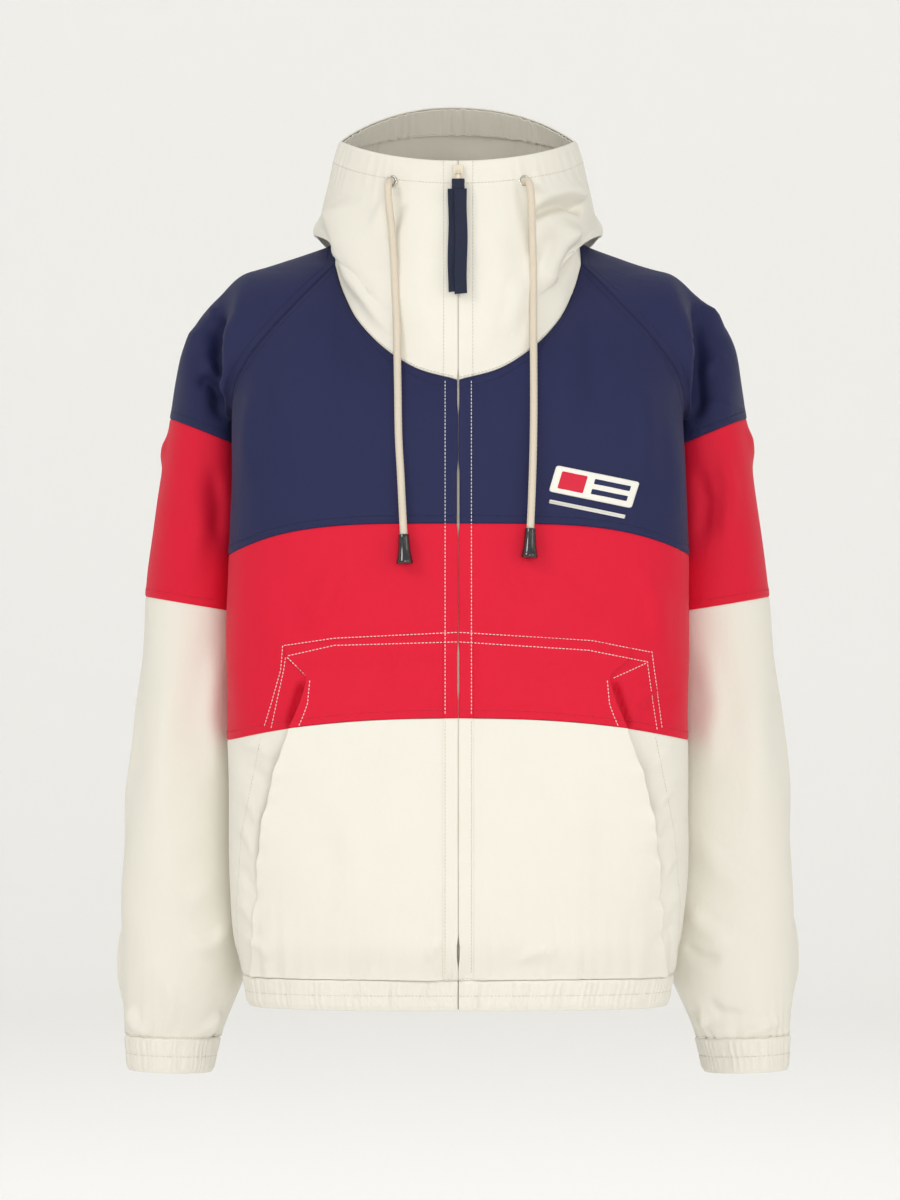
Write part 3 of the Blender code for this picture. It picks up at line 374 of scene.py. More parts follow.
def four_point_ring(ring: Sequence, around: np.ndarray) -> np.ndarray:
    """Points of a ring through points over, in front of, under and behind the arm.

    Args:
        ring: The four points.
        around: Angles round the sleeve in degrees.

    Returns:
        The points of the ring.
    """
    over, front, under, behind = (np.array(p) for p in ring)
    turn = np.radians(around)[:, None]
    middle = (over + under) / 2
    sideways = np.where(np.sin(turn) > 0, front - middle, behind - middle)
    along = (over - under) / 2 * np.cos(turn)
    return middle + (along + sideways * np.abs(np.sin(turn))) * squircle(turn, SLEEVE_POWER)


def sleeve(around: np.ndarray, ring_number: np.ndarray) -> np.ndarray:
    """Points of the left sleeve: one row of angles and a grid of ring numbers.

    Args:
        around: Angles round the sleeve in degrees.
        ring_number: Ring numbers, rows by columns.

    Returns:
        The points, rows by columns.
    """
    around = np.asarray(around, float)
    rings = list(CAP)
    for r in ARM:
        x, z = (r.outer_x + r.inner_x) / 2, (r.outer_z + r.inner_z) / 2
        over, under = (r.outer_x, r.y, r.outer_z), (r.inner_x, r.y, r.inner_z)
        rings.append((over, (x, r.y - r.half_depth, z), under, (x, r.y + r.half_depth, z)))
    rows = np.stack([sleeve_seam(around)] + [four_point_ring(r, around) for r in rings])
    return curve_through(np.arange(len(rows)), rows, ring_number)


def neck_seam(angle: np.ndarray) -> np.ndarray:
    """Neckline at hood angles from 0 (front) to 180 (back).

    Args:
        angle: Hood angles in degrees.

    Returns:
        The points.
    """
    angle = np.asarray(angle, float)
    front = RAGLAN[0].ring_angle * np.clip(angle / FRONT_CORNER, 0, 1)
    share = np.clip((angle - BACK_CORNER) / (180 - BACK_CORNER), 0, 1)
    back = RAGLAN[-1].ring_angle + (180 - RAGLAN[-1].ring_angle) * share
    body = np.where(angle < 90, front, back)
    arc = neck_arc(np.clip((angle - FRONT_CORNER) / (BACK_CORNER - FRONT_CORNER), 0, 1))
    on_body = (angle <= FRONT_CORNER) | (angle >= BACK_CORNER)
    return np.where(on_body[..., None], torso(body, neck_height(body)), arc)


def hood(angle: np.ndarray, ring_number: np.ndarray) -> np.ndarray:
    """Points of the hood: one row of hood angles and a grid of ring numbers.

    Args:
        angle: Hood angles in degrees.
        ring_number: Ring numbers, rows by columns.

    Returns:
        The points, rows by columns.
    """
    wrapped = (np.asarray(angle, float) + 180) % 360 - 180
    side = np.where(wrapped < 0, -1.0, 1.0)
    turn = np.radians(np.abs(wrapped))
    along = np.cos(turn)
    rows = [neck_seam(np.abs(wrapped))]
    for r in HOOD:
        y = r.side_y + np.where(along > 0, r.front_y - r.side_y, r.back_y - r.side_y) * np.abs(along)
        drop = np.where(along > 0, r.front_z - r.side_z, r.back_z - r.side_z)
        z = r.side_z + drop * np.abs(along) ** HOOD_SLOPE
        rows.append(np.stack([r.side_x * np.sin(turn), y, z], axis=-1))
    points = curve_through(np.arange(len(rows)), np.stack(rows), ring_number)
    return points * np.stack([side, np.ones_like(side), np.ones_like(side)], axis=-1)


def grid_normals(points: np.ndarray, closed: bool) -> np.ndarray:
    """Normals of a grid of points whose columns run to the wearer's left in front and rows run up.

    Args:
        points: Rows by columns of points.
        closed: Whether the last column is followed by the first.

    Returns:
        A unit normal for each point.
    """
    if closed:
        across = np.roll(points, -1, axis=1) - np.roll(points, 1, axis=1)
    else:
        across = np.gradient(points, axis=1)
    return unit(np.cross(across, np.gradient(points, axis=0)))


# ---- Folds and gathers ----
CREASED = 2.2  # how strongly the folds have set in


class Seen(Enum):
    """Side that a fold is drawn from: its two axes, the depth axis and the way it faces."""

    FRONT = (0, 2, 1, -1.0)
    BACK = (0, 2, 1, 1.0)
    LEFT = (1, 2, 0, 1.0)
    RIGHT = (1, 2, 0, -1.0)


@dataclass(frozen=True)
class Fold:
    """Soft ridge, or trough where rise is below 0, along a line that is drawn from one side.

    Its line, rise and widths are in millimetres; `wide` is its width to the left of the line's run
    and `other` its width to the right.
    """

    line: tuple[tuple[float, float], ...]
    rise: float
    wide: float
    other: float = 0.0
    seen: Seen = Seen.FRONT
    ends: tuple[float, float] = (0.35, 0.35)

    def height(self, points: np.ndarray, normals: np.ndarray) -> np.ndarray:
        """How far the fold lifts each point off its surface.

        Args:
            points: Points, with x, y and z along the last axis.
            normals: Normals at the points.

        Returns:
            The lift of each point in metres.
        """
        i, j, k, facing = self.seen.value
        flat, line = points[..., [i, j]] * 1000, np.array(self.line, float)
        steps = np.linalg.norm(np.diff(line, axis=0), axis=1)
        total, run = steps.sum(), 0.0
        nearest = np.full(flat.shape[:-1], 1e6)
        left, along = np.zeros_like(nearest), np.zeros_like(nearest)
        for start, end, step in zip(line, line[1:], steps):
            way = end - start
            t = np.clip(((flat - start) @ way) / step**2, 0, 1)
            off = flat - start - t[..., None] * way
            distance = np.linalg.norm(off, axis=-1)
            closer = distance < nearest
            nearest = np.where(closer, distance, nearest)
            left = np.where(closer, way[0] * off[..., 1] - way[1] * off[..., 0], left)
            along = np.where(closer, (run + t * step) / total, along)
            run += step
        wide = np.where(left > 0, self.wide, self.other or self.wide)
        ends = smooth(0, self.ends[0], along) * smooth(0, self.ends[1], 1 - along)
        shown = smooth(0.0, 0.3, facing * normals[..., k])
        return CREASED * self.rise / 1000 * np.exp(-((nearest / wide) ** 2)) * ends * shown


@dataclass(frozen=True)
class Gather:
    """Uneven ripples that start at a seam and fade away from it."""

    depth: float
    spacing: float
    reach: float
    seed: float

    def height(self, along: np.ndarray, away: np.ndarray) -> np.ndarray:
        """Lift at distances along the seam and away from it.

        Args:
            along: Distances along the seam.
            away: Distances away from it.

        Returns:
            The lift in metres.
        """
        turn = 2 * np.pi * along / self.spacing
        turn = turn + 1.5 * np.sin(turn / 4.3 + self.seed) + 0.9 * np.sin(turn / 2.6 + 2.3 * self.seed)
        strong = 0.62 + 0.38 * np.sin(turn / 5.7 + 1.9 * self.seed)
        reach = self.reach * (0.35 + 0.65 * np.sin(turn / 2.1 + self.seed) ** 2)
        return self.depth * strong * np.sin(turn) * np.exp(-np.maximum(away, 0) / reach)


def undulation(points: np.ndarray, depth: float) -> np.ndarray:
    """Broad, faint unevenness of worn cloth.

    Args:
        points: Points, with x, y and z along the last axis.
        depth: Its depth.

    Returns:
        The lift in metres.
    """
    x, y, z = np.moveaxis(points, -1, 0)
    slow = np.sin(31 * x + 17 * z + 9 * y + 0.6) + 0.8 * np.sin(-23 * x + 29 * z + 21 * y + 2.1)
    quick = 0.45 * np.sin(58 * x - 37 * z + 44 * y + 4.0) + 0.3 * np.sin(71 * z + 52 * x - 61 * y + 1.0)
    return depth * (slow + quick) / 2.5


BODY_FOLDS = [
    # Chest, from the neck and the raglan seams.
    Fold(((92, -58), (91, -105), (88, -165)), 1.6, 10, 7),
    Fold(((108, -60), (112, -110), (113, -150)), -1.2, 9, 6),
    Fold(((150, -95), (158, -150), (156, -215)), 1.8, 12, 9),
    Fold(((-128, -62), (-146, -110), (-152, -170)), 1.4, 13, 8),
    Fold(((-166, -98), (-178, -150), (-180, -210)), 1.6, 9, 7),
    Fold(((178, -128), (184, -190), (183, -250)), 1.2, 8, 10),
    # Red band.
    Fold(((-98, -258), (-110, -296), (-127, -334)), 2, 9, 12),
    Fold(((-60, -300), (-50, -352), (-47, -392)), 0.9, 10, 10),
    Fold(((76, -278), (100, -300), (128, -312)), 1.2, 8, 10),
    Fold(((30, -280), (52, -291), (82, -292)), -0.8, 6, 9),
    Fold(((140, -260), (166, -300), (176, -360)), 1.4, 10, 8),
    Fold(((12, -296), (5, -304), (1, -318)), 0.9, 3, 3),
    # Beside the pocket mouths, down to the hem.
    Fold(((150, -398), (170, -384), (190, -380)), -1.2, 4, 7),
    Fold(((148, -378), (157, -381), (172, -373)), 1.2, 3, 4),
    Fold(((156, -448), (172, -430), (188, -424)), 1.4, 4, 6),
    Fold(((160, -482), (176, -462), (191, -455)), 1.6, 5, 4),
    Fold(((165, -512), (178, -492), (192, -488)), -1.4, 4, 5),
    Fold(((168, -540), (180, -520), (193, -512)), 1.5, 5, 4),
    Fold(((170, -568), (182, -552), (191, -540)), 1.2, 4, 6),
    Fold(((160, -596), (176, -580), (190, -572)), -1.2, 4, 5),
    Fold(((-150, -436), (-168, -424), (-189, -421)), 1.5, 5, 4),
    Fold(((-155, -466), (-172, -446), (-190, -440)), -1.4, 4, 6),
    Fold(((-160, -498), (-172, -476), (-184, -462)), 1.7, 5, 4),
    Fold(((-166, -526), (-177, -500), (-190, -488)), 1.5, 4, 6),
    Fold(((-170, -552), (-180, -532), (-191, -524)), -1.3, 4, 4),
    Fold(((-168, -580), (-180, -560), (-190, -553)), 1.3, 4, 5),
    Fold(((-156, -604), (-170, -590), (-186, -584)), 1.1, 4, 4),
    Fold(((-98, -455), (-88, -520), (-92, -585)), 1.2, 16, 12),
    Fold(((92, -445), (106, -510), (102, -580)), 1.2, 12, 16),
    Fold(((-30, -604), (-22, -590), (-10, -584)), 1.2, 3, 5),
    Fold(((46, -604), (62, -596), (84, -594)), 1, 3, 5),
    # Back, from the shoulders and across the yoke.
    Fold(((120, -60), (105, -120), (70, -180)), 2.4, 12, 18, Seen.BACK),
    Fold(((-112, -70), (-100, -130), (-76, -176)), 2.2, 16, 11, Seen.BACK),
    Fold(((160, -140), (150, -230), (128, -300)), 2.4, 13, 17, Seen.BACK),
    Fold(((-162, -150), (-154, -220), (-138, -312)), 2.2, 16, 12, Seen.BACK),
    Fold(((20, -40), (12, -110), (20, -190)), 1.2, 18, 14, Seen.BACK),
    Fold(((60, -330), (48, -430), (58, -560)), 2, 20, 15, Seen.BACK),
    Fold(((-48, -360), (-60, -470), (-52, -580)), 1.8, 15, 20, Seen.BACK),
    Fold(((140, -400), (128, -500), (132, -590)), 1.8, 14, 11, Seen.BACK),
    Fold(((-136, -380), (-142, -490), (-130, -588)), 1.8, 11, 14, Seen.BACK),
    Fold(((150, -168), (168, -186), (182, -214)), 1.8, 5, 8, Seen.BACK),
    Fold(((-150, -172), (-170, -192), (-183, -226)), 1.8, 8, 5, Seen.BACK),
]

SLEEVE_FOLDS = {
    1: [
        # Fold where the cap turns back beside the body, and drags from the underarm.
        Fold(((196.5, -40), (197, -95), (196.5, -158)), 2.6, 4, 9, ends=(0.3, 0.2)),
        Fold(((204, -38), (205, -90), (203, -150)), -3.8, 7, 5, ends=(0.3, 0.2)),
        Fold(((212, -42), (222, -54), (236, -60)), 2, 4, 7),
        Fold(((206, -112), (218, -98), (234, -92)), 2, 7, 4),
        Fold(((204, -142), (222, -132), (246, -134)), 1.4, 5, 8),
        Fold(((226, -166), (233, -205), (228, -262)), 1.8, 8, 6),
        Fold(((204, -180), (213, -216), (209, -262)), -1.6, 6, 8),
        Fold(((212, -330), (222, -390), (214, -460)), 1.8, 9, 12),
        Fold(((250, -350), (257, -430), (252, -520)), 1.4, 12, 10),
        Fold(((205, -500), (224, -530), (262, -560)), 1.6, 7, 12),
        Fold(((196, -560), (210, -580), (236, -596)), 2.4, 5, 9),
        Fold(((192, -596), (206, -606), (228, -610)), -2, 4, 6),
        Fold(((204, -652), (218, -668), (240, -672)), 3, 3, 6),
        Fold(((210, -640), (226, -656), (252, -658)), -2, 4, 5),
        Fold(((240, -676), (262, -668), (284, -662)), 2.2, 5, 4),
        Fold(((60, -330), (40, -420), (52, -520)), 2, 12, 16, Seen.LEFT),
        Fold(((20, -150), (50, -170), (85, -168)), 1.8, 8, 12, Seen.LEFT),
        Fold(((76, -560), (50, -600), (40, -650)), 2, 8, 10, Seen.LEFT),
        Fold(((200, -190), (222, -206), (246, -206)), 2.4, 6, 10, Seen.BACK),
        Fold(((196, -240), (216, -262), (250, -268)), 2, 8, 12, Seen.BACK),
        Fold(((200, -420), (230, -445), (266, -446)), 1.8, 10, 14, Seen.BACK),
        Fold(((205, -540), (232, -562), (268, -560)), 2.2, 8, 12, Seen.BACK),
        Fold(((214, -640), (230, -660), (252, -670)), 2.4, 5, 8, Seen.BACK),
    ],
    -1: [
        Fold(((-195.5, -52), (-196.5, -100), (-195.5, -158)), 2.6, 9, 4, ends=(0.2, 0.2)),
        Fold(((-204, -50), (-205, -95), (-203, -150)), -4, 5, 7, ends=(0.2, 0.2)),
        Fold(((-216, -50), (-206, -53), (-198, -60)), 2.4, 3, 6),
        Fold(((-224, -104), (-213, -99), (-204, -112), (-194, -128)), 3.4, 4, 7),
        Fold(((-228, -118), (-214, -112), (-204, -126)), -2.6, 4, 5),
        Fold(((-236, -66), (-220, -78), (-210, -94)), 1.8, 6, 10),
        Fold(((-212, -180), (-205, -220), (-206, -262)), -1.8, 6, 8),
        Fold(((-230, -180), (-222, -240), (-230, -290)), 1.6, 10, 8),
        Fold(((-206, -330), (-214, -400), (-204, -470)), 2, 10, 8),
        Fold(((-246, -340), (-252, -420), (-262, -520)), 1.4, 12, 14),
        Fold(((-262, -552), (-232, -560), (-200, -540)), 1.4, 8, 12),
        Fold(((-236, -600), (-210, -596), (-192, -576)), 2.2, 6, 8),
        Fold(((-283, -648), (-279, -664), (-270, -678)), 2.6, 4, 5),
        Fold(((-224, -676), (-214, -668), (-205, -652)), 2.8, 4, 5),
        Fold(((-214, -684), (-208, -676), (-200, -664)), -2.2, 3, 4),
        Fold(((-252, -678), (-246, -650), (-250, -622)), 1.6, 5, 6),
        Fold(((52, -340), (36, -430), (48, -530)), 2, 16, 12, Seen.RIGHT),
        Fold(((80, -160), (50, -174), (22, -160)), 1.8, 10, 8, Seen.RIGHT),
        Fold(((74, -570), (46, -610), (40, -656)), 2, 10, 8, Seen.RIGHT),
        Fold(((-246, -212), (-222, -204), (-200, -184)), 2.4, 10, 6, Seen.BACK),
        Fold(((-250, -276), (-216, -266), (-196, -246)), 2, 12, 8, Seen.BACK),
        Fold(((-264, -436), (-228, -446), (-200, -428)), 1.8, 14, 10, Seen.BACK),
        Fold(((-266, -566), (-230, -560), (-206, -536)), 2.2, 12, 8, Seen.BACK),
        Fold(((-252, -668), (-232, -656), (-214, -636)), 2.4, 8, 5, Seen.BACK),
    ],
}

HOOD_FOLDS = [
    # The collar rolls over a lower band beside the neckline, on both sides.
    Fold(
        ((-112, 40), (-99, -2), (-89, -29), (-66, -64), (-44, -82)),
        4.2, 22, 5.5, ends=(0.10, 0.4),
    ),
    Fold(((62, 20), (76, 31), (92, 36), (108, 32)), -5, 5, 3.5, ends=(0.3, 0.1)),
    Fold(((58, 30), (76, 42), (94, 47), (110, 44)), 3.4, 12, 5, ends=(0.3, 0.1)),
    Fold(((104, 22), (95, 4), (83, -17), (66, -46)), 3.6, 5, 14, ends=(0.2, 0.3)),
    Fold(((100, 8), (92, -12), (80, -32)), -3, 4, 6),
    Fold(((78, 18), (72, -6), (62, -30)), 1.6, 5, 8),
    Fold(((-50, 46), (-64, 30), (-74, 8)), 1.6, 6, 5),
    Fold(((-46, 40), (-52, 20), (-62, 0)), -1.4, 4, 6),
    Fold(((54, -20), (50, -50), (40, -82)), 1.4, 10, 8),
    Fold(((-30, 20), (-34, -30), (-28, -80)), 1, 10, 12),
    Fold(((30, 30), (34, -24), (26, -84)), 1, 12, 10),
    # The pouch behind the neck.
    Fold(((96, 60), (60, 30), (0, 16), (-56, 28), (-94, 56)), -5, 10, 14, Seen.BACK),
    Fold(((80, 92), (40, 66), (-6, 62), (-50, 74)), 3.6, 8, 14, Seen.BACK),
    Fold(((70, 0), (30, -14), (-30, -12), (-72, 2)), 3, 10, 12, Seen.BACK),
    Fold(((94, 20), (70, 4), (52, -20)), 3, 7, 10, Seen.BACK),
    Fold(((-52, -18), (-72, 2), (-96, 14)), 3, 7, 10, Seen.BACK),
    Fold(((20, 6), (60, 30), (100, 34)), 2.8, 8, 6, Seen.LEFT),
    Fold(((20, 6), (60, 30), (100, 34)), 2.8, 8, 6, Seen.RIGHT),
    Fold(((60, -10), (90, 10), (124, 6)), -3, 6, 8, Seen.LEFT),
    Fold(((56, -14), (90, 6), (124, 2)), -3, 6, 8, Seen.RIGHT),
]


# ---- Panels ----
EDGE_STEPS = (0.0, 0.0006, 0.0013, 0.0022)  # extra rows beside a sewn edge
SMALLEST_SHEET = 0.012  # a piece with a shorter side keeps its own area
LEAST_FILL = 0.301  # least share of its width times its length that a sheet covers
EASE = 1.002  # cut size over built size


def spaced(length: float, grain: float = GRAIN) -> np.ndarray:
    """Shares from 0 to 1 along a length, closer together at both ends.

    Args:
        length: The length.
        grain: Spacing of the points.

    Returns:
        The shares.
    """
    edge = np.array(EDGE_STEPS) / length
    inner = np.linspace(edge[-1], 1 - edge[-1], max(2, round(length / grain)))
    return np.concatenate([edge[:-1], inner, 1 - edge[-2::-1]])


def running(points: np.ndarray, axis: int) -> np.ndarray:
    """Distance run along a grid of points from its first row or column.

    Args:
        points: Points, with x, y and z along the last axis.
        axis: 0 to run over rows, 1 over columns.

    Returns:
        The distance of each point.
    """
    steps = np.linalg.norm(np.diff(points, axis=axis), axis=-1)
    start = np.zeros_like(np.take(steps, [0], axis=axis))
    return np.cumsum(np.concatenate([start, steps], axis=axis), axis=axis)


@dataclass
class Panel:
    """Piece of cloth on a grid of points, with its relief and its sewn edges.

    Columns run to the wearer's left in front and rows run up, or down the arm.
    """

    name: str
    base: np.ndarray
    closed: bool = False
    thickness: float = CLOTH
    sewn: str = ""  # edges with a seam: b first row, t last row, l first column, r last column
    relief: np.ndarray = field(init=False)
    normals: np.ndarray = field(init=False)

    def __post_init__(self) -> None:
        """Works out the normals and starts with no relief."""
        self.normals = grid_normals(self.base, self.closed)
        self.relief = np.zeros(self.base.shape[:2])

    def from_edge(self, edge: str) -> np.ndarray:
        """Distance of each point from an edge, along the grid.

        Args:
            edge: The edge: b, t, l or r.

        Returns:
            The distances.
        """
        if edge in "bt":
            run = running(self.base, 0)
            return run if edge == "b" else run[-1] - run
        run = running(self.base, 1)
        return run if edge == "l" else run[:, -1:] - run

    def add_folds(self, folds: Sequence[Fold], still: str = "", reach: float = 0.008) -> None:
        """Adds folds, which fade out within `reach` of the edges in `still`.

        Args:
            folds: The folds.
            still: Edges that stay flat.
            reach: How far from such an edge the folds fade out.
        """
        for fold in folds:
            self.relief += fold.height(self.base, self.normals)
        for edge in still:
            self.relief *= smooth(0, reach, self.from_edge(edge))

    def add_band(self, edge: str, wide: float, rise: float = 0.00035, pucker: float = 0.00022) -> None:
        """Adds the layers of a seam allowance beside an edge, drawn in a little by its stitches.

        Args:
            edge: The edge: b, t, l or r.
            wide: Width of the band.
            rise: How far the layers lift the cloth.
            pucker: Depth of the puckers beside the stitches.
        """
        away = self.from_edge(edge)
        along = running(self.base, 1 if edge in "bt" else 0)
        ripple = Gather(pucker, 0.0085, 1.0, 1.3 + len(self.name)).height(along, np.zeros_like(along))
        inside = smooth(0, 0.0008, away) * (1 - smooth(wide, wide + 0.0012, away))
        self.relief += inside * rise + np.exp(-((away - wide) ** 2) / 0.004**2) * ripple
        self.relief -= 0.00025 * np.exp(-((away - wide) ** 2) / 0.0007**2)

    def surface(self) -> np.ndarray:
        """Outer points, with the sewn edges turned in.

        Returns:
            The points, rows by columns.
        """
        turn_in = np.zeros_like(self.relief)
        for edge in self.sewn:
            turn_in = turn_in + 0.0006 * np.exp(-((self.from_edge(edge) / 0.0009) ** 2))
        return self.base + self.normals * (self.relief - turn_in)[..., None]

    def line(self, edge: str, away: float) -> tuple[np.ndarray, np.ndarray]:
        """Line on the surface at a distance from an edge.

        Args:
            edge: The edge that the line follows.
            away: Its distance from that edge.

        Returns:
            The line's points and its normals.
        """
        points, run = self.surface(), self.from_edge(edge)
        normals = grid_normals(points, self.closed)
        if edge in "lr":
            points, run, normals = points.transpose(1, 0, 2), run.T, normals.transpose(1, 0, 2)
        if edge in "tr":
            points, run, normals = points[::-1], run[::-1], normals[::-1]
        column = np.arange(run.shape[1])
        upper = np.clip((run < away).sum(0), 1, len(run) - 1)
        low, high = run[upper - 1, column], run[upper, column]
        share = ((away - low) / (high - low))[:, None]
        found = points[upper - 1, column] * (1 - share) + points[upper, column] * share
        facing = unit(normals[upper - 1, column] * (1 - share) + normals[upper, column] * share)
        if self.closed and edge in "bt":
            found, facing = np.concatenate([found, found[:1]]), np.concatenate([facing, facing[:1]])
        return found, facing

    def flat_size(self) -> tuple[float, float, float]:
        """Width, length and area that the panel was cut to.

        Returns:
            The width, the length and the area.
        """
        ring = self.base if not self.closed else np.concatenate([self.base, self.base[:, :1]], axis=1)
        width, length = running(ring, 1)[:, -1].max(), running(ring, 0)[-1].max()
        across, up = np.diff(ring, axis=1)[:-1], np.diff(ring, axis=0)[:, :-1]
        area = np.linalg.norm(np.cross(across, up), axis=-1).sum()
        return float(width) * EASE, float(length) * EASE, float(area)

    def build(self, finish: bpy.types.Material) -> bpy.types.Object:
        """Makes the closed wall, with a map in metres, rides it on the jacket and logs its cut size.

        Args:
            finish: Its finish.

        Returns:
            The object.
        """
        outer = self.surface()
        inner = outer - self.normals * self.thickness
        ring = np.concatenate([self.base, self.base[:, :1]], axis=1) if self.closed else self.base
        across, up = running(ring, 1), running(ring, 0)
        thing = wall_object(f"cloth_{self.name}", outer, inner, self.closed, across, up)
        thing.data.materials.append(finish)
        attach(thing, "jacket")
        width, length, area = self.flat_size()
        if min(width, length) > SMALLEST_SHEET:
            area = min(max(area, LEAST_FILL * width * length), width * length)
        LOG.info("%s: %d faces, cut %.3f by %.3f m", self.name, len(thing.data.polygons), width, length)
        return thing

    def dress(self, finishes: "Finishes", finish: "Finish") -> None:
        """Builds the panel in its finish and sets it in for the node of its name.

        Args:
            finishes: The materials.
            finish: Its finish.
        """
        thing = self.build(finishes[finish])
        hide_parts(self.name)


def quad_mesh(
    name: str, points: np.ndarray, faces: np.ndarray, uv: np.ndarray | None = None
) -> bpy.types.Object:
    """Object from points and faces, with an optional map position for each face corner.

    Args:
        name: Name of the object.
        points: Points, with x, y and z along the last axis.
        faces: Point numbers of each face.
        uv: Map position of each face corner.

    Returns:
        The object.
    """
    mesh = bpy.data.meshes.new(name)
    mesh.vertices.add(len(points))
    mesh.vertices.foreach_set("co", np.ascontiguousarray(points, np.float32).ravel())
    mesh.loops.add(faces.size)
    mesh.loops.foreach_set("vertex_index", np.ascontiguousarray(faces, np.int32).ravel())
    mesh.polygons.add(len(faces))
    mesh.polygons.foreach_set("loop_start", np.arange(0, faces.size, faces.shape[1], dtype=np.int32))
    mesh.update(calc_edges=True)
    if uv is not None:
        layer = mesh.uv_layers.new(name="cloth")
        layer.data.foreach_set("uv", np.ascontiguousarray(uv, np.float32).ravel())
    mesh.shade_smooth()
    thing = bpy.data.objects.new(name, mesh)
    bpy.context.scene.collection.objects.link(thing)
    return thing


def wall_object(
    name: str, outer: np.ndarray, inner: np.ndarray, closed: bool, across: np.ndarray, up: np.ndarray
) -> bpy.types.Object:
    """Closed thin wall between two grids.

    Args:
        name: Name of the object.
        outer: Outer points, rows by columns.
        inner: Inner points on the same grid.
        closed: Whether the last column is followed by the first.
        across: Map position of each point across the piece, in metres.
        up: Map position of each point up the piece, in metres.

    Returns:
        The object.
    """
    rows, columns = outer.shape[:2]
    index = np.arange(rows * columns).reshape(rows, columns)
    if closed:
        index = np.concatenate([index, index[:, :1]], axis=1)
    points = np.concatenate([outer.reshape(-1, 3), inner.reshape(-1, 3)])
    faces = wall_faces(index, rows * columns, closed)
    wide = across.shape[1]
    corners = wall_faces(np.arange(rows * wide).reshape(rows, wide), rows * wide, closed)
    uv = np.stack([across.ravel(), up.ravel()], axis=-1)
    return quad_mesh(name, points, faces, np.concatenate([uv, uv])[corners.ravel()])


def grid_faces(index: np.ndarray) -> np.ndarray:
    """Faces between the neighbours of a grid of point numbers."""
    corners = [index[:-1, :-1], index[:-1, 1:], index[1:, 1:], index[1:, :-1]]
    return np.stack(corners, axis=-1).reshape(-1, 4)


def wall_faces(index: np.ndarray, count: int, closed: bool) -> np.ndarray:
    """Faces of a closed wall between two grids.

    Args:
        index: Numbers of the outer points.
        count: How many points the outer grid has.
        closed: Whether the last column is followed by the first.

    Returns:
        The faces of the skins and of the edges.
    """
    skin = grid_faces(index)
    rims = [index[0, ::-1], index[-1]]
    if not closed:
        rims += [index[:, 0], index[::-1, -1]]
    edges = [np.stack([rim[:-1], rim[1:], rim[1:] + count, rim[:-1] + count], axis=-1) for rim in rims]
    return np.concatenate([skin, skin[:, ::-1] + count] + edges)


# ---- Stitches ----
@dataclass
class Thread:
    """Rows of machine stitches in one colour, joined into one mesh."""

    name: str
    pitch: float = 0.0031
    length: float = 0.0025
    width: float = 0.00075
    high: float = 0.00030
    points: list[np.ndarray] = field(default_factory=list)

    def sew(self, line: tuple[np.ndarray, np.ndarray], start: float = 0.0, end: float = 1.0) -> None:
        """Adds stitches along a line of points with normals, between two shares of its length.

        Args:
            line: Points and normals of the line.
            start: Share of its length where it starts.
            end: Share where it ends.
        """
        places, normals = line
        run = running(places[None], 1)[0]
        total = run[-1]
        at = np.arange(start * total + self.pitch / 2, end * total - self.pitch / 2, self.pitch)

        def read(values: np.ndarray, where: np.ndarray) -> np.ndarray:
            """Values at distances along the line."""
            return np.stack([np.interp(where, run, values[:, k]) for k in range(3)], axis=-1)

        middle, out = read(places, at), unit(read(normals, at))
        along = unit(read(places, at + 0.001) - read(places, at - 0.001))
        aside = unit(np.cross(out, along))
        half, wide = self.length / 2, self.width / 2
        corners = [
            middle - along * half,
            middle - along * half * 0.6 - aside * wide,
            middle - along * half * 0.6 + aside * wide,
            middle + along * half * 0.6 - aside * wide,
            middle + along * half * 0.6 + aside * wide,
            middle + along * half,
            middle - along * half * 0.45 + out * self.high,
            middle + along * half * 0.45 + out * self.high,
            middle - out * self.high * 0.7,
        ]
        self.points.append(np.stack(corners, axis=1))

    def build(self, finish: bpy.types.Material) -> bpy.types.Object:
        """Joins the stitches into one mesh that rides on the jacket.

        Args:
            finish: Its finish.

        Returns:
            The object.
        """
        stitches = np.concatenate(self.points)
        shape = np.array(
            [
                (0, 1, 6), (2, 0, 6), (1, 3, 7), (1, 7, 6), (4, 2, 6), (4, 6, 7), (3, 5, 7), (5, 4, 7),
                (1, 0, 8), (0, 2, 8), (3, 1, 8), (2, 4, 8), (5, 3, 8), (4, 5, 8),
            ]
        )  # fmt: skip
        faces = (np.arange(len(stitches))[:, None, None] * 9 + shape[None]).reshape(-1, 3)
        thing = quad_mesh(self.name, stitches.reshape(-1, 3), faces)
        thing.data.materials.append(finish)
        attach(thing, "jacket")
        LOG.info("%s: %d stitches", self.name, len(stitches))
        return thing


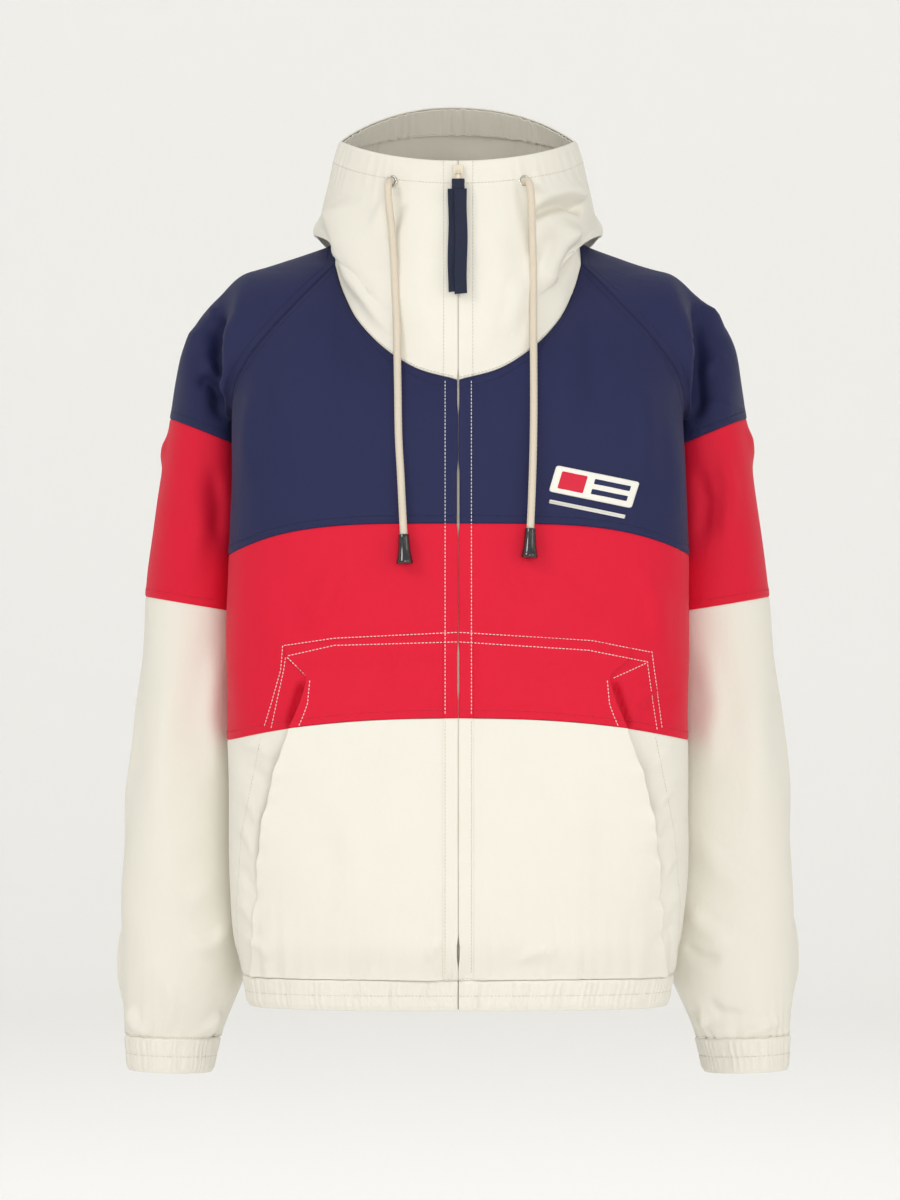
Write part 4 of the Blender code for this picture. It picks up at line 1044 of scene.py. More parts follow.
# ---- Finishes ----
class Value:
    """Shader value whose operators add Math nodes."""

    def __init__(self, shading: "Shading", socket: bpy.types.NodeSocket) -> None:
        """Wraps a socket of a material's nodes."""
        self.shading, self.socket = shading, socket

    def worked(
        self, operation: str, *others: "Value | float", first: "Value | float | None" = None
    ) -> "Value":
        """Value of a Math node on this value and others.

        Args:
            operation: The operation.
            others: The other operands.
            first: An operand that goes first instead.

        Returns:
            The value.
        """
        operands = [self if first is None else first, *others]
        math_node = self.shading.node("ShaderNodeMath", {"operation": operation}, *operands)
        return Value(self.shading, math_node.outputs[0])

    def __add__(self, other: "Value | float") -> "Value":
        """Sum."""
        return self.worked("ADD", other)

    def __sub__(self, other: "Value | float") -> "Value":
        """Difference."""
        return self.worked("SUBTRACT", other)

    def __rsub__(self, other: "Value | float") -> "Value":
        """Difference from a number."""
        return self.worked("SUBTRACT", self, first=other)

    def __mul__(self, other: "Value | float") -> "Value":
        """Product."""
        return self.worked("MULTIPLY", other)

    __radd__, __rmul__ = __add__, __mul__

    def wave(self, pitch: float) -> "Value":
        """Sine wave of this length in metres."""
        return (self * (2 * math.pi / pitch)).worked("SINE")


class Shading:
    """Nodes of one material."""

    def __init__(self, name: str) -> None:
        """Starts the material with its surface shader."""
        self.material = bpy.data.materials.new(name)
        self.material.use_nodes = True
        self.tree = self.material.node_tree
        self.surface = self.tree.nodes["Principled BSDF"]

    def node(
        self, kind: str, settings: dict[str, object], *operands: object, **inputs: object
    ) -> bpy.types.Node:
        """Adds a node.

        Args:
            kind: Its type.
            settings: Properties that are set first.
            operands: Values or links of its sockets in order.
            inputs: Values or links of its sockets by name.

        Returns:
            The node.
        """
        made = self.tree.nodes.new(kind)
        for name, setting in settings.items():
            setattr(made, name, setting)
        for name, given in list(enumerate(operands)) + list(inputs.items()):
            socket = made.inputs[name]
            source = given.socket if isinstance(given, Value) else given
            if isinstance(source, bpy.types.NodeSocket):
                self.tree.links.new(source, socket)
            else:
                socket.default_value = source
        return made

    def place(self, mapped: bool) -> bpy.types.NodeSocket:
        """Position on the piece's own map or in the object."""
        return self.node("ShaderNodeTexCoord", {}).outputs["UV" if mapped else "Object"]

    def grain(
        self, at: bpy.types.NodeSocket, size: float, stretch: float = 1.0, detail: float = 3.0
    ) -> Value:
        """Uneven value from 0 to 1 in spots.

        Args:
            at: Where it is read.
            size: Size of the spots in metres.
            stretch: How much longer they are along the second axis.
            detail: Octaves of noise.

        Returns:
            The value.
        """
        scale = (1 / size, 1 / (size * stretch), 1 / size)
        moved = self.node("ShaderNodeMapping", {}, Vector=at, Scale=scale).outputs[0]
        noise = {"Vector": moved, "Scale": 1.0, "Detail": detail, "Roughness": 0.55}
        made = self.node("ShaderNodeTexNoise", {}, **noise)
        return Value(self, made.outputs["Fac"])

    def blend(
        self, share: Value, low: tuple[float, ...], high: tuple[float, ...]
    ) -> bpy.types.NodeSocket:
        """Colour between two colours.

        Args:
            share: Share of the second colour.
            low: Colour at 0.
            high: Colour at 1.

        Returns:
            The colour's socket.
        """
        mix = self.node("ShaderNodeMix", {"data_type": "RGBA"})
        self.tree.links.new(share.socket, mix.inputs["Factor"])
        mix.inputs[6].default_value, mix.inputs[7].default_value = (*low, 1.0), (*high, 1.0)
        return mix.outputs[2]

    def colour(self, source: bpy.types.NodeSocket) -> None:
        """Gives the surface its colour."""
        self.tree.links.new(source, self.surface.inputs["Base Color"])

    def rough(self, value: Value) -> None:
        """Gives the surface its roughness."""
        self.tree.links.new(value.socket, self.surface.inputs["Roughness"])

    def relief(self, height: Value, depth: float) -> None:
        """Gives the surface a relief of a depth in metres."""
        bump = self.node("ShaderNodeBump", {}, Height=height, Distance=depth, Strength=1.0)
        self.tree.links.new(bump.outputs[0], self.surface.inputs["Normal"])


def toned(colour: tuple[float, float, float], by: float) -> tuple[float, float, float]:
    """Colour made lighter or darker."""
    return tuple(min(1.0, c * by) for c in colour)


@dataclass(frozen=True)
class Cloth:
    """Plain-woven matte cloth, or an elastic band of it, on a map in metres."""

    name: str
    tint: tuple[float, float, float]
    thread: float = 0.00055
    rough: float = 0.62
    crinkle: tuple[float, float, float] = (0.004, 1.6, 0.00010)  # size, stretch along the piece, depth
    varied: float = 0.05

    def make(self) -> bpy.types.Material:
        """Builds the material.

        Returns:
            The material.
        """
        shading = Shading(self.name)
        flat, solid = shading.place(True), shading.place(False)
        parts = shading.node("ShaderNodeSeparateXYZ", {}, Vector=flat)
        warp, weft = Value(shading, parts.outputs[0]), Value(shading, parts.outputs[1])
        weave = warp.wave(self.thread) * weft.wave(self.thread)
        size, stretch, depth = self.crinkle
        crinkle = shading.grain(flat, size, stretch)
        patchy = shading.grain(solid, 0.035) * 0.6 + shading.grain(solid, 0.0012, 1.0, 1.0) * 0.4
        dark, light = toned(self.tint, 1 - self.varied), toned(self.tint, 1 + self.varied)
        shading.colour(shading.blend(patchy, dark, light))
        shading.rough(patchy * 0.12 + (self.rough - 0.06))
        broad = shading.grain(flat, 0.026, 1.7)
        shading.relief(crinkle + broad * (0.0009 / depth) + weave * (0.00003 / depth), depth)
        shading.surface.inputs["Sheen Weight"].default_value = 0.03
        shading.surface.inputs["Sheen Roughness"].default_value = 0.45
        shading.surface.inputs["Specular IOR Level"].default_value = 0.22
        return shading.material


@dataclass(frozen=True)
class Braid:
    """Round or flat braid of thick cotton yarn, on a map with its length along the second axis."""

    name: str
    tint: tuple[float, float, float]
    yarn: float
    ribbed: bool = False

    def make(self) -> bpy.types.Material:
        """Builds the material.

        Returns:
            The material.
        """
        shading = Shading(self.name)
        parts = shading.node("ShaderNodeSeparateXYZ", {}, Vector=shading.place(True))
        around, along = Value(shading, parts.outputs[0]), Value(shading, parts.outputs[1])
        one, two = (along, along) if self.ribbed else (around + along, around - along)
        yarn_height_and_shade = one.wave(self.yarn) * two.wave(self.yarn) * 0.5 + 0.5
        fuzz = shading.grain(shading.place(False), 0.0009)
        # The colour darkens with the yarn relief: painted shade in the grooves between the yarns, plus a
        # random fuzz tone.
        tone = yarn_height_and_shade * 0.7 + fuzz * 0.3
        shading.colour(shading.blend(tone, toned(self.tint, 0.80), toned(self.tint, 1.06)))
        shading.rough(fuzz * 0.1 + 0.72)
        shading.relief(yarn_height_and_shade + fuzz * 0.2, 0.0004)
        return shading.material


@dataclass(frozen=True)
class Hard:
    """Moulded plastic, enamel or plated metal."""

    name: str
    tint: tuple[float, float, float]
    rough: float
    metal: float = 0.0
    coat: float = 0.0

    def make(self) -> bpy.types.Material:
        """Builds the material.

        Returns:
            The material.
        """
        shading = Shading(self.name)
        solid = shading.place(False)
        wear, fine = shading.grain(solid, 0.006), shading.grain(solid, 0.0006, 1.0, 1.0)
        shading.colour(shading.blend(wear, toned(self.tint, 0.90), toned(self.tint, 1.05)))
        shading.rough(wear * 0.10 + (self.rough - 0.05))
        shading.relief(fine, 0.00001)
        shading.surface.inputs["Metallic"].default_value = self.metal
        shading.surface.inputs["Coat Weight"].default_value = self.coat
        shading.surface.inputs["Coat Roughness"].default_value = 0.06
        return shading.material


class Finish(Enum):
    """Finishes of the jacket; each value is a recipe for its material."""

    NAVY = Cloth("navy_cloth", (0.016, 0.019, 0.073), varied=0.07)
    RED = Cloth("red_cloth", (0.690, 0.006, 0.032))
    CREAM = Cloth("cream_cloth", (0.820, 0.790, 0.700), varied=0.02)
    ELASTIC = Cloth("cream_elastic", (0.820, 0.790, 0.700), varied=0.03, crinkle=(0.0022, 6.0, 0.00030))
    TAPE = Cloth("zip_tape", (0.640, 0.600, 0.500), thread=0.0009, varied=0.06)
    BADGE = Cloth("badge", (0.850, 0.830, 0.760), thread=0.0007, varied=0.03)
    BADGE_RED = Cloth("badge_red", (0.660, 0.020, 0.050), thread=0.0007)
    BADGE_NAVY = Cloth("badge_navy", (0.020, 0.025, 0.080), thread=0.0007)
    WHITE_THREAD = Braid("white_thread", (0.900, 0.880, 0.840), 0.0006, True)
    NAVY_THREAD = Braid("navy_thread", (0.010, 0.012, 0.045), 0.0006, True)
    RED_THREAD = Braid("red_thread", (0.600, 0.012, 0.035), 0.0006, True)
    CREAM_THREAD = Braid("cream_thread", (0.740, 0.700, 0.600), 0.0006, True)
    CORD = Braid("cotton_cord", (0.850, 0.750, 0.600), 0.00195)
    RIBBON = Braid("ribbon", (0.010, 0.016, 0.045), 0.0012, True)
    PLASTIC = Hard("black_plastic", (0.012, 0.012, 0.013), 0.16, coat=0.6)
    NICKEL = Hard("nickel", (0.62, 0.60, 0.56), 0.24, metal=1.0)
    ENAMEL = Hard("zip_enamel", (0.780, 0.700, 0.560), 0.34, coat=0.25)


class Finishes:
    """Materials made from the recipes, each made once."""

    def __init__(self) -> None:
        """Starts with none made."""
        self.made: dict[Finish, bpy.types.Material] = {}

    def __getitem__(self, finish: Finish) -> bpy.types.Material:
        """Material of a finish.

        Args:
            finish: Its finish.

        Returns:
            The material.
        """
        if finish not in self.made:
            self.made[finish] = finish.value.make()
        return self.made[finish]


# ---- The jacket's cloth ----
SEAM_BAND, RAGLAN_BAND = 0.0070, 0.0065  # widths of the seam allowances under the topstitching
TOPSTITCH, EDGE_STITCH = 0.0065, 0.0015  # distances of the rows of stitches from a seam
RAGLAN_STITCHES = (0.0016, 0.0080)
CASING_DEPTH = 0.0200  # from the hood's rim to the stitches of its casing


def even(
    path: Callable[[np.ndarray], np.ndarray], low: float, high: float, grain: float = GRAIN
) -> np.ndarray:
    """Values from low to high that fall evenly along a path, closer at its ends.

    Args:
        path: Points of the path for each value.
        low: Lower end.
        high: Upper end.
        grain: Spacing of the points.

    Returns:
        The values.
    """
    values = np.linspace(low, high, 400)
    run = running(path(values)[None], 1)[0]
    return np.interp(spaced(run[-1], grain) * run[-1], run, values)


def body_columns(
    low: float, high: float, corners: Sequence[float] = (), grain: float = GRAIN
) -> np.ndarray:
    """Ring angles of the columns between two angles, with a column at each corner.

    Args:
        low: Lower end.
        high: Upper end.
        corners: Angles that get a column.
        grain: Spacing of the points.

    Returns:
        The angles.
    """
    angles = even(lambda a: torso(a, np.full_like(a, -0.30)), low, high, grain)
    return np.unique(np.append(angles, corners))


def top_height(angle: np.ndarray) -> np.ndarray:
    """Height of the body's top edge at ring angles from 0 to 360.

    Args:
        angle: Ring angles in degrees.

    Returns:
        The heights.
    """
    folded = np.minimum(angle, 360 - angle)
    around = np.linspace(NECK_ARC, 360 - NECK_ARC, 900)
    along, height = raglan_at(around)
    on_neck = (folded < RAGLAN[0].ring_angle) | (folded > RAGLAN[-1].ring_angle)
    return np.where(on_neck, neck_height(folded), np.interp(folded, along, height))


def zip_gap(height: np.ndarray) -> np.ndarray:
    """How far each front edge stands from the middle; the edges part in a few places.

    Args:
        height: Heights.

    Returns:
        The distance at each height.
    """
    gap = np.full_like(height, 0.00015)
    for top, foot, wide in ZIP_SLITS:
        gap += wide * smooth(foot - 0.012, foot, height) * (1 - smooth(top, top + 0.012, height))
    return gap


def placket(points: np.ndarray, side: int) -> np.ndarray:
    """Moves a front's inner columns out to its zip edge.

    Args:
        points: Points, with x, y and z along the last axis.
        side: 1 for the left side, -1 for the right.

    Returns:
        The moved points.
    """
    x = points[..., 0] * side
    share = np.clip(1 - x / 0.006, 0, 1)
    moved = points.copy()
    moved[..., 0] += side * zip_gap(points[..., 2]) * share
    return moved


MOUTH_TROUGHS = [
    Fold(((130.5, -368), (142.5, -409)), -4, 3.2, ends=(0.2, 0.1)),
    Fold(((142, -405), (153.5, -447), (162.5, -493), (170, -553)), -2.2, 4.5),
    Fold(((-130.5, -368), (-142.5, -409)), -4, 3.2, ends=(0.2, 0.1)),
    Fold(((-142, -405), (-153.5, -447), (-162.5, -493), (-170, -553)), -2.2, 4.5),
]
ZIP_SLITS = [
    (-0.116, -0.135, 0.0008),
    (-0.195, -0.237, 0.0010),
    (-0.346, -0.374, 0.0008),
    (-0.592, -0.598, 0.0010),
]
PLACKET = 0.0122  # half width of the raised strip beside the zip
HEM_GATHER = Gather(0.0026, 0.0150, 0.0340, 0.7)


@dataclass
class Body:
    """Fronts, backs and hem band."""

    finishes: Finishes
    columns: float = 0.0030
    panels: dict[str, Panel] = field(default_factory=dict)

    def block(
        self, name: str, angles: np.ndarray, low: np.ndarray, high: np.ndarray, side: int
    ) -> Panel:
        """One colour block between two heights for each column, with the body's folds.

        Args:
            name: Name of the piece.
            angles: Ring angle of each column.
            low: Height of the foot of each column.
            high: Height of the top of each column.
            side: 1 for the left front, -1 for the right, 0 for the back.

        Returns:
            The panel.
        """
        share = spaced(float(np.mean(high - low)))[:, None]
        heights = low + (high - low) * share
        points = torso(angles[None], heights)
        if side:
            points = placket(mirrored(points, side), side)
        if side < 0:
            points = points[:, ::-1]
        panel = Panel(name, points, sewn="btlr")
        panel.relief += self.worn(panel, "t" if "navy" in name else "")
        panel.add_folds(MOUTH_TROUGHS if side else ())
        self.panels[name] = panel
        return panel

    def worn(self, panel: Panel, still: str) -> np.ndarray:
        """Relief of the worn body: unevenness, folds, gathers over the hem and the raised placket.

        Args:
            panel: The panel.
            still: Edges that stay flat.

        Returns:
            The relief.
        """
        points = panel.base
        relief = undulation(points, 0.0022)
        for fold in BODY_FOLDS:
            relief += fold.height(points, panel.normals)
        for edge in still:
            relief *= smooth(0, 0.012, panel.from_edge(edge))
        x, z = points[..., 0], points[..., 2]
        around = x + np.where(panel.normals[..., 1] > 0, 0.5, 0.0)
        strong = 0.45 + 0.55 * smooth(0.06, 0.13, np.abs(x)) + 0.5 * np.exp(-((x / 0.03) ** 2))
        relief += strong * HEM_GATHER.height(around, z - HEM_TOP) * smooth(0, 0.004, z - HEM_TOP + 0.001)
        front = panel.normals[..., 1] < -0.5
        strip = 1 - smooth(PLACKET - 0.001, PLACKET + 0.001, np.abs(x))
        return relief + np.where(front, 0.0005 * strip, 0)

    def build(self) -> None:
        """Builds the nine blocks and the hem band."""
        corner = RAGLAN[0].ring_angle
        zip_side = float(angle_at(PLACKET, np.array(-0.30)))
        corners = (corner, zip_side * 0.85, zip_side, zip_side * 1.1)
        half = body_columns(0.01, SIDE_SEAM, corners, self.columns)
        corner = RAGLAN[-1].ring_angle
        back = body_columns(SIDE_SEAM, 360 - SIDE_SEAM, (corner, 360 - corner))
        for tag, side, angles in (("_L", 1, half), ("_R", -1, half), ("", 0, back)):
            part = "front" if side else "back"
            hem = np.full(angles.shape, HEM_TOP)
            red, navy = seam_height(RED_CREAM, angles), seam_height(NAVY_RED, angles)
            rows = (
                ("cream", Finish.CREAM, hem, red),
                ("red", Finish.RED, red, navy),
                ("navy", Finish.NAVY, navy, top_height(angles)),
            )
            for colour, finish, low, high in rows:
                panel = self.block(f"{part}_{colour}{tag}", angles, low, high, side)
                if colour != "cream":
                    panel.add_band("b", SEAM_BAND)
                if colour == "navy":
                    panel.add_band("t", RAGLAN_BAND, 0.0003)
                panel.dress(self.finishes, finish)
        self.hem_band()

    def hem_band(self) -> None:
        """Elastic band round the foot, open at the zip."""
        angles = body_columns(0.12, 359.88, grain=0.0013)
        share = spaced(HEM_TOP - HEM_BOTTOM, 0.0018)[:, None]
        heights = HEM_BOTTOM + (HEM_TOP - 0.0002 - HEM_BOTTOM) * share
        points = torso(angles[None], heights)
        panel = Panel("hem_band", points, thickness=BAND, sewn="t")
        panel.relief += elastic(panel, 0.0055)
        panel.dress(self.finishes, Finish.ELASTIC)
        self.panels["hem_band"] = panel


def elastic(panel: Panel, pitch: float) -> np.ndarray:
    """Relief of an elastic band: proud, rounded over its edges, with crowded upright ripples.

    Args:
        panel: The panel.
        pitch: Spacing of its ripples.

    Returns:
        The relief.
    """
    foot, top = panel.from_edge("b"), panel.from_edge("t")
    along = running(panel.base, 1)[-1:] + np.zeros_like(foot)
    lean = along + 0.0008 * np.sin(foot / 0.005)
    rounded = smooth(0, 0.0045, foot) * 0.7 + 0.3
    ripples = Gather(0.00075, pitch, 1.0, 2.2).height(lean, np.zeros_like(along))
    fine = Gather(0.00025, pitch * 0.43, 1.0, 0.4).height(lean, np.zeros_like(along))
    rows = -0.0004 * np.exp(-((foot - foot[-1] / 2) ** 2) / 0.0008**2)
    held = smooth(0, 0.0035, top) * 0.75 + 0.25
    return BAND_PROUD * rounded * smooth(-0.002, 0.002, top) + (ripples + fine) * held * rounded + rows


@dataclass
class Sleeves:
    """Raglan sleeves in three colours, with their elastic cuffs."""

    finishes: Finishes
    panels: dict[str, Panel] = field(default_factory=dict)

    def block(self, name: str, side: int, low: float, high: float, grain: float, step: float) -> Panel:
        """Closed tube between two ring numbers.

        Args:
            name: Name of the piece.
            side: 1 for the left side, -1 for the right.
            low: First ring number.
            high: Last ring number.
            grain: Spacing of the points.
            step: Spacing of the rows.

        Returns:
            The panel.
        """

        def ring(around: np.ndarray) -> np.ndarray:
            """Ring below the cap."""
            return sleeve(around, np.full((1, len(around)), 4.0))[0]

        def down(number: np.ndarray) -> np.ndarray:
            """Line down the front of the arm."""
            return sleeve(np.array([90.0]), number[:, None])[:, 0]

        around = np.unique(np.round(even(ring, 0, 360, grain), 4))[:-1]
        number = even(down, low, high, step)
        points = mirrored(sleeve(around, number[:, None] * np.ones(len(around))), side)
        return Panel(name, points if side > 0 else points[:, ::-1], closed=True, sewn="bt")

    def build(self) -> None:
        """Builds three blocks and a cuff for each arm."""
        blocks = (
            ("navy", Finish.NAVY, 0.0, NAVY_END),
            ("red", Finish.RED, NAVY_END, RED_END),
            ("cream", Finish.CREAM, RED_END, CREAM_END),
        )
        for tag, side in (("L", 1), ("R", -1)):
            for colour, finish, low, high in blocks:
                panel = self.block(f"sleeve_{colour}_{tag}", side, low, high, 0.0030, GRAIN)
                panel.relief += undulation(panel.base, 0.0020)
                panel.add_folds(SLEEVE_FOLDS[side], "b" if colour == "navy" else "", 0.012)
                if colour == "navy":
                    panel.relief *= smooth(0, 0.012, panel.from_edge("b"))
                if colour == "cream":
                    along, away = running(panel.base, 1)[-1:], panel.from_edge("t")
                    panel.relief += Gather(0.0022, 0.0120, 0.026, 1.4 + side).height(along, away)
                if colour != "cream":
                    panel.add_band("t", SEAM_BAND)
                self.dress(panel, finish)
            panel = self.block(f"cuff_{tag}", side, CREAM_END, CUFF_END, 0.0013, 0.0018)
            panel.thickness, panel.sewn = BAND, "b"
            flipped = Panel("turned", panel.base[::-1], closed=True)
            panel.relief += elastic(flipped, 0.0050)[::-1]
            self.dress(panel, Finish.ELASTIC)

    def dress(self, panel: Panel, finish: Finish) -> None:
        """Builds a panel in its finish.

        Args:
            panel: The panel.
            finish: Its finish.
        """
        panel.dress(self.finishes, finish)
        self.panels[panel.name] = panel


@dataclass
class Hood:
    """Hood with its raised collar front, in two sides and a centre panel, and the rim's casing."""

    finishes: Finishes
    casing_rows: tuple[float, float] = (7.42, 7.98)
    panels: dict[str, Panel] = field(default_factory=dict)

    def shell(
        self, low: float, high: float, first: float, last: float, grain: float = 0.0028
    ) -> np.ndarray:
        """Points between two hood angles and two ring numbers.

        Args:
            low: First hood angle.
            high: Last hood angle.
            first: First ring number.
            last: Last ring number.
            grain: Spacing of the points.

        Returns:
            The points, rows by columns.
        """

        def ring(angle: np.ndarray) -> np.ndarray:
            """Widest ring of the hood."""
            return hood(angle, np.full((1, len(angle)), 4.0))[0]

        corners = [FRONT_CORNER] if low < FRONT_CORNER < high else []
        angles = np.unique(np.append(even(ring, low, high, grain), corners))
        rows = max(16, round((last - first) * 12))
        numbers = first + (last - first) * spaced(0.2, 0.2 / rows)
        return hood(angles, numbers[:, None] * np.ones(len(angles)))

    def build(self) -> None:
        """Builds the panels and the casing inside the rim."""
        for tag, side in (("L", 1), ("R", -1)):
            points = placket(mirrored(self.shell(0.08, HOOD_PANEL_SEAM, 0, RIM), side), side)
            turned = points if side > 0 else points[:, ::-1]
            self.finish_panel(Panel(f"hood_side_{tag}", turned, sewn="blr"))
        points = self.shell(HOOD_PANEL_SEAM, 360 - HOOD_PANEL_SEAM, 0, RIM)
        self.finish_panel(Panel("hood_centre", points, sewn="blr"))
        points = self.shell(9.0, 351.0, *self.casing_rows, 0.0016)
        casing = Panel("hood_casing", points, thickness=0.0008)
        along = running(points, 1)[-1:] + np.zeros(points.shape[:2])
        gathers = Gather(0.0010, 0.0105, 1.0, 0.9).height(along, np.zeros_like(along))
        casing.relief = -(CLOTH + 0.0014) + self.worn(casing) + gathers - 0.0004
        self.dress(casing)

    def worn(self, panel: Panel) -> np.ndarray:
        """Relief of the hood: unevenness and folds.

        Args:
            panel: The panel.

        Returns:
            The relief.
        """
        relief = undulation(panel.base, 0.0014)
        for fold in HOOD_FOLDS:
            relief += fold.height(panel.base, panel.normals)
        return relief

    def finish_panel(self, panel: Panel) -> None:
        """Adds the relief of a panel of the shell and builds it.

        Args:
            panel: The panel.
        """
        panel.relief += self.worn(panel) * smooth(0, 0.010, panel.from_edge("b"))
        x, y = np.abs(panel.base[..., 0]), panel.base[..., 1]
        panel.relief += np.where(y < 0, 0.0004 * (1 - smooth(PLACKET - 0.001, PLACKET + 0.001, x)), 0)
        rim = panel.from_edge("t")
        gathers = Gather(0.0007, 0.0105, 0.030, 0.9)
        along = running(panel.base, 1)[-1:]
        panel.relief += gathers.height(along, np.abs(rim - CASING_DEPTH)) * smooth(0.015, 0.04, x)
        panel.relief -= 0.0008 * np.exp(-((rim / 0.0012) ** 2))
        self.dress(panel)

    def dress(self, panel: Panel) -> None:
        """Builds a panel in the cream cloth.

        Args:
            panel: The panel.
        """
        panel.dress(self.finishes, Finish.CREAM)
        self.panels[panel.name] = panel


@dataclass
class Pockets:
    """Pocket patches on the fronts, open along their slanting mouths."""

    finishes: Finishes
    body: Body
    gap: float = 0.0005
    thick: float = 0.0010

    def patch(self, name: str, side: int, low: float, high: float) -> Panel:
        """Patch between two shifts from the colour seam, or down to the hem where `low` is below it.

        Args:
            name: Name of the piece.
            side: 1 for the left side, -1 for the right.
            low: Shift of the foot from the colour seam; the hem's height where it is lower.
            high: Shift of the top from the colour seam.

        Returns:
            The panel.
        """
        along, share = spaced(0.15, 0.0028)[None], spaced(abs(high - low), GRAIN)[:, None]
        heights = np.full((share.size, along.size), RED_CREAM.middle)
        mouth_heights, mouth_rows = [m.height for m in POCKET_MOUTH], [m[1:] for m in POCKET_MOUTH]
        for _ in range(4):
            mouth = curve_through(mouth_heights, mouth_rows, heights)
            inner, outer = angle_at(POCKET_INNER, heights), angle_at(mouth[..., 0], heights)
            angles = inner + (outer - inner) * along
            seam = seam_height(RED_CREAM, angles)
            foot = np.full_like(seam, HEM_TOP + 0.0004) if low < -0.1 else seam + low
            heights = foot + (seam + high - foot) * share
        points = mirrored(torso(angles, heights), side)
        panel = Panel(name, points if side > 0 else points[:, ::-1], thickness=self.thick)
        away = (1 - along) * 0.15
        gape = mouth[..., 1] * along**3
        ripple = 0.0012 * np.sin(heights / 0.0065 + 1.1) + 0.0009 * np.sin(heights / 0.0031 + 0.4)
        loose = smooth(-0.585, -0.56, heights) * (1 - smooth(-0.42, -0.40, heights))
        gape = gape + ripple * loose * np.exp(-away / 0.008)
        top = (seam + high - heights) if high > 0 else np.ones_like(heights)
        edge = np.minimum(along * 0.15, top)
        lift = self.gap * 0.4 + (self.gap * 0.6 + self.thick) * smooth(0, 0.008, edge) + 0.0003
        lift += gape
        panel.relief = (lift if side > 0 else lift[:, ::-1]) + self.body.worn(panel, "")
        return panel

    def build(self) -> None:
        """Builds a red and a cream patch on each side."""
        for tag, side in (("L", 1), ("R", -1)):
            for colour, finish, low, high in (
                ("red", Finish.RED, 0.0002, POCKET_TOP - RED_CREAM.middle),
                ("cream", Finish.CREAM, HEM_TOP - RED_CREAM.middle, -0.0002),
            ):
                panel = self.patch(f"pocket_{colour}_{tag}", side, low, high)
                if colour == "red":
                    panel.add_band("b", SEAM_BAND)
                panel.dress(self.finishes, finish)
                self.body.panels[panel.name] = panel


# ---- What lies on the cloth ----
BADGE_X, BADGE_Z, BADGE_WIDE, BADGE_HIGH = 0.1137, -0.206, 0.069, 0.022
BADGE_TILT, BADGE_LEAN = 0.206, 0.30  # slope of its long sides and slant of its ends
POCKET_ROWS_RIGHT = [
    [
        (0.0005, -0.328), (0.104, -0.333), (0.1473, -0.3394),
        (0.149, -0.3596), (0.157, -0.3877), (0.164, -0.410),
    ],
    [
        (0.0005, -0.336), (0.104, -0.339), (0.1447, -0.3482),
        (0.1464, -0.3596), (0.1508, -0.379), (0.1575, -0.410),
    ],
    [(0.1438, -0.3487), (0.1258, -0.3662)],
    [(0.1243, -0.3680), (0.1262, -0.3880), (0.1300, -0.3985), (0.1343, -0.4085)],
]
POCKET_ROWS_LEFT = [
    [(0.0005, -0.328), (0.112, -0.335), (0.1630, -0.3450), (0.1665, -0.370), (0.1720, -0.411)],
    [(0.0005, -0.336), (0.109, -0.343), (0.1590, -0.3530), (0.1622, -0.376), (0.1675, -0.411)],
    [(0.1582, -0.3540), (0.1285, -0.3672)],
    [(0.1248, -0.3680), (0.1266, -0.3880), (0.1304, -0.3985), (0.1347, -0.4085)],
]
POCKET_TONE_ROWS = [[(0.166, -0.416), (0.183, -0.499), (0.188, -0.560), (0.186, -0.612)]]


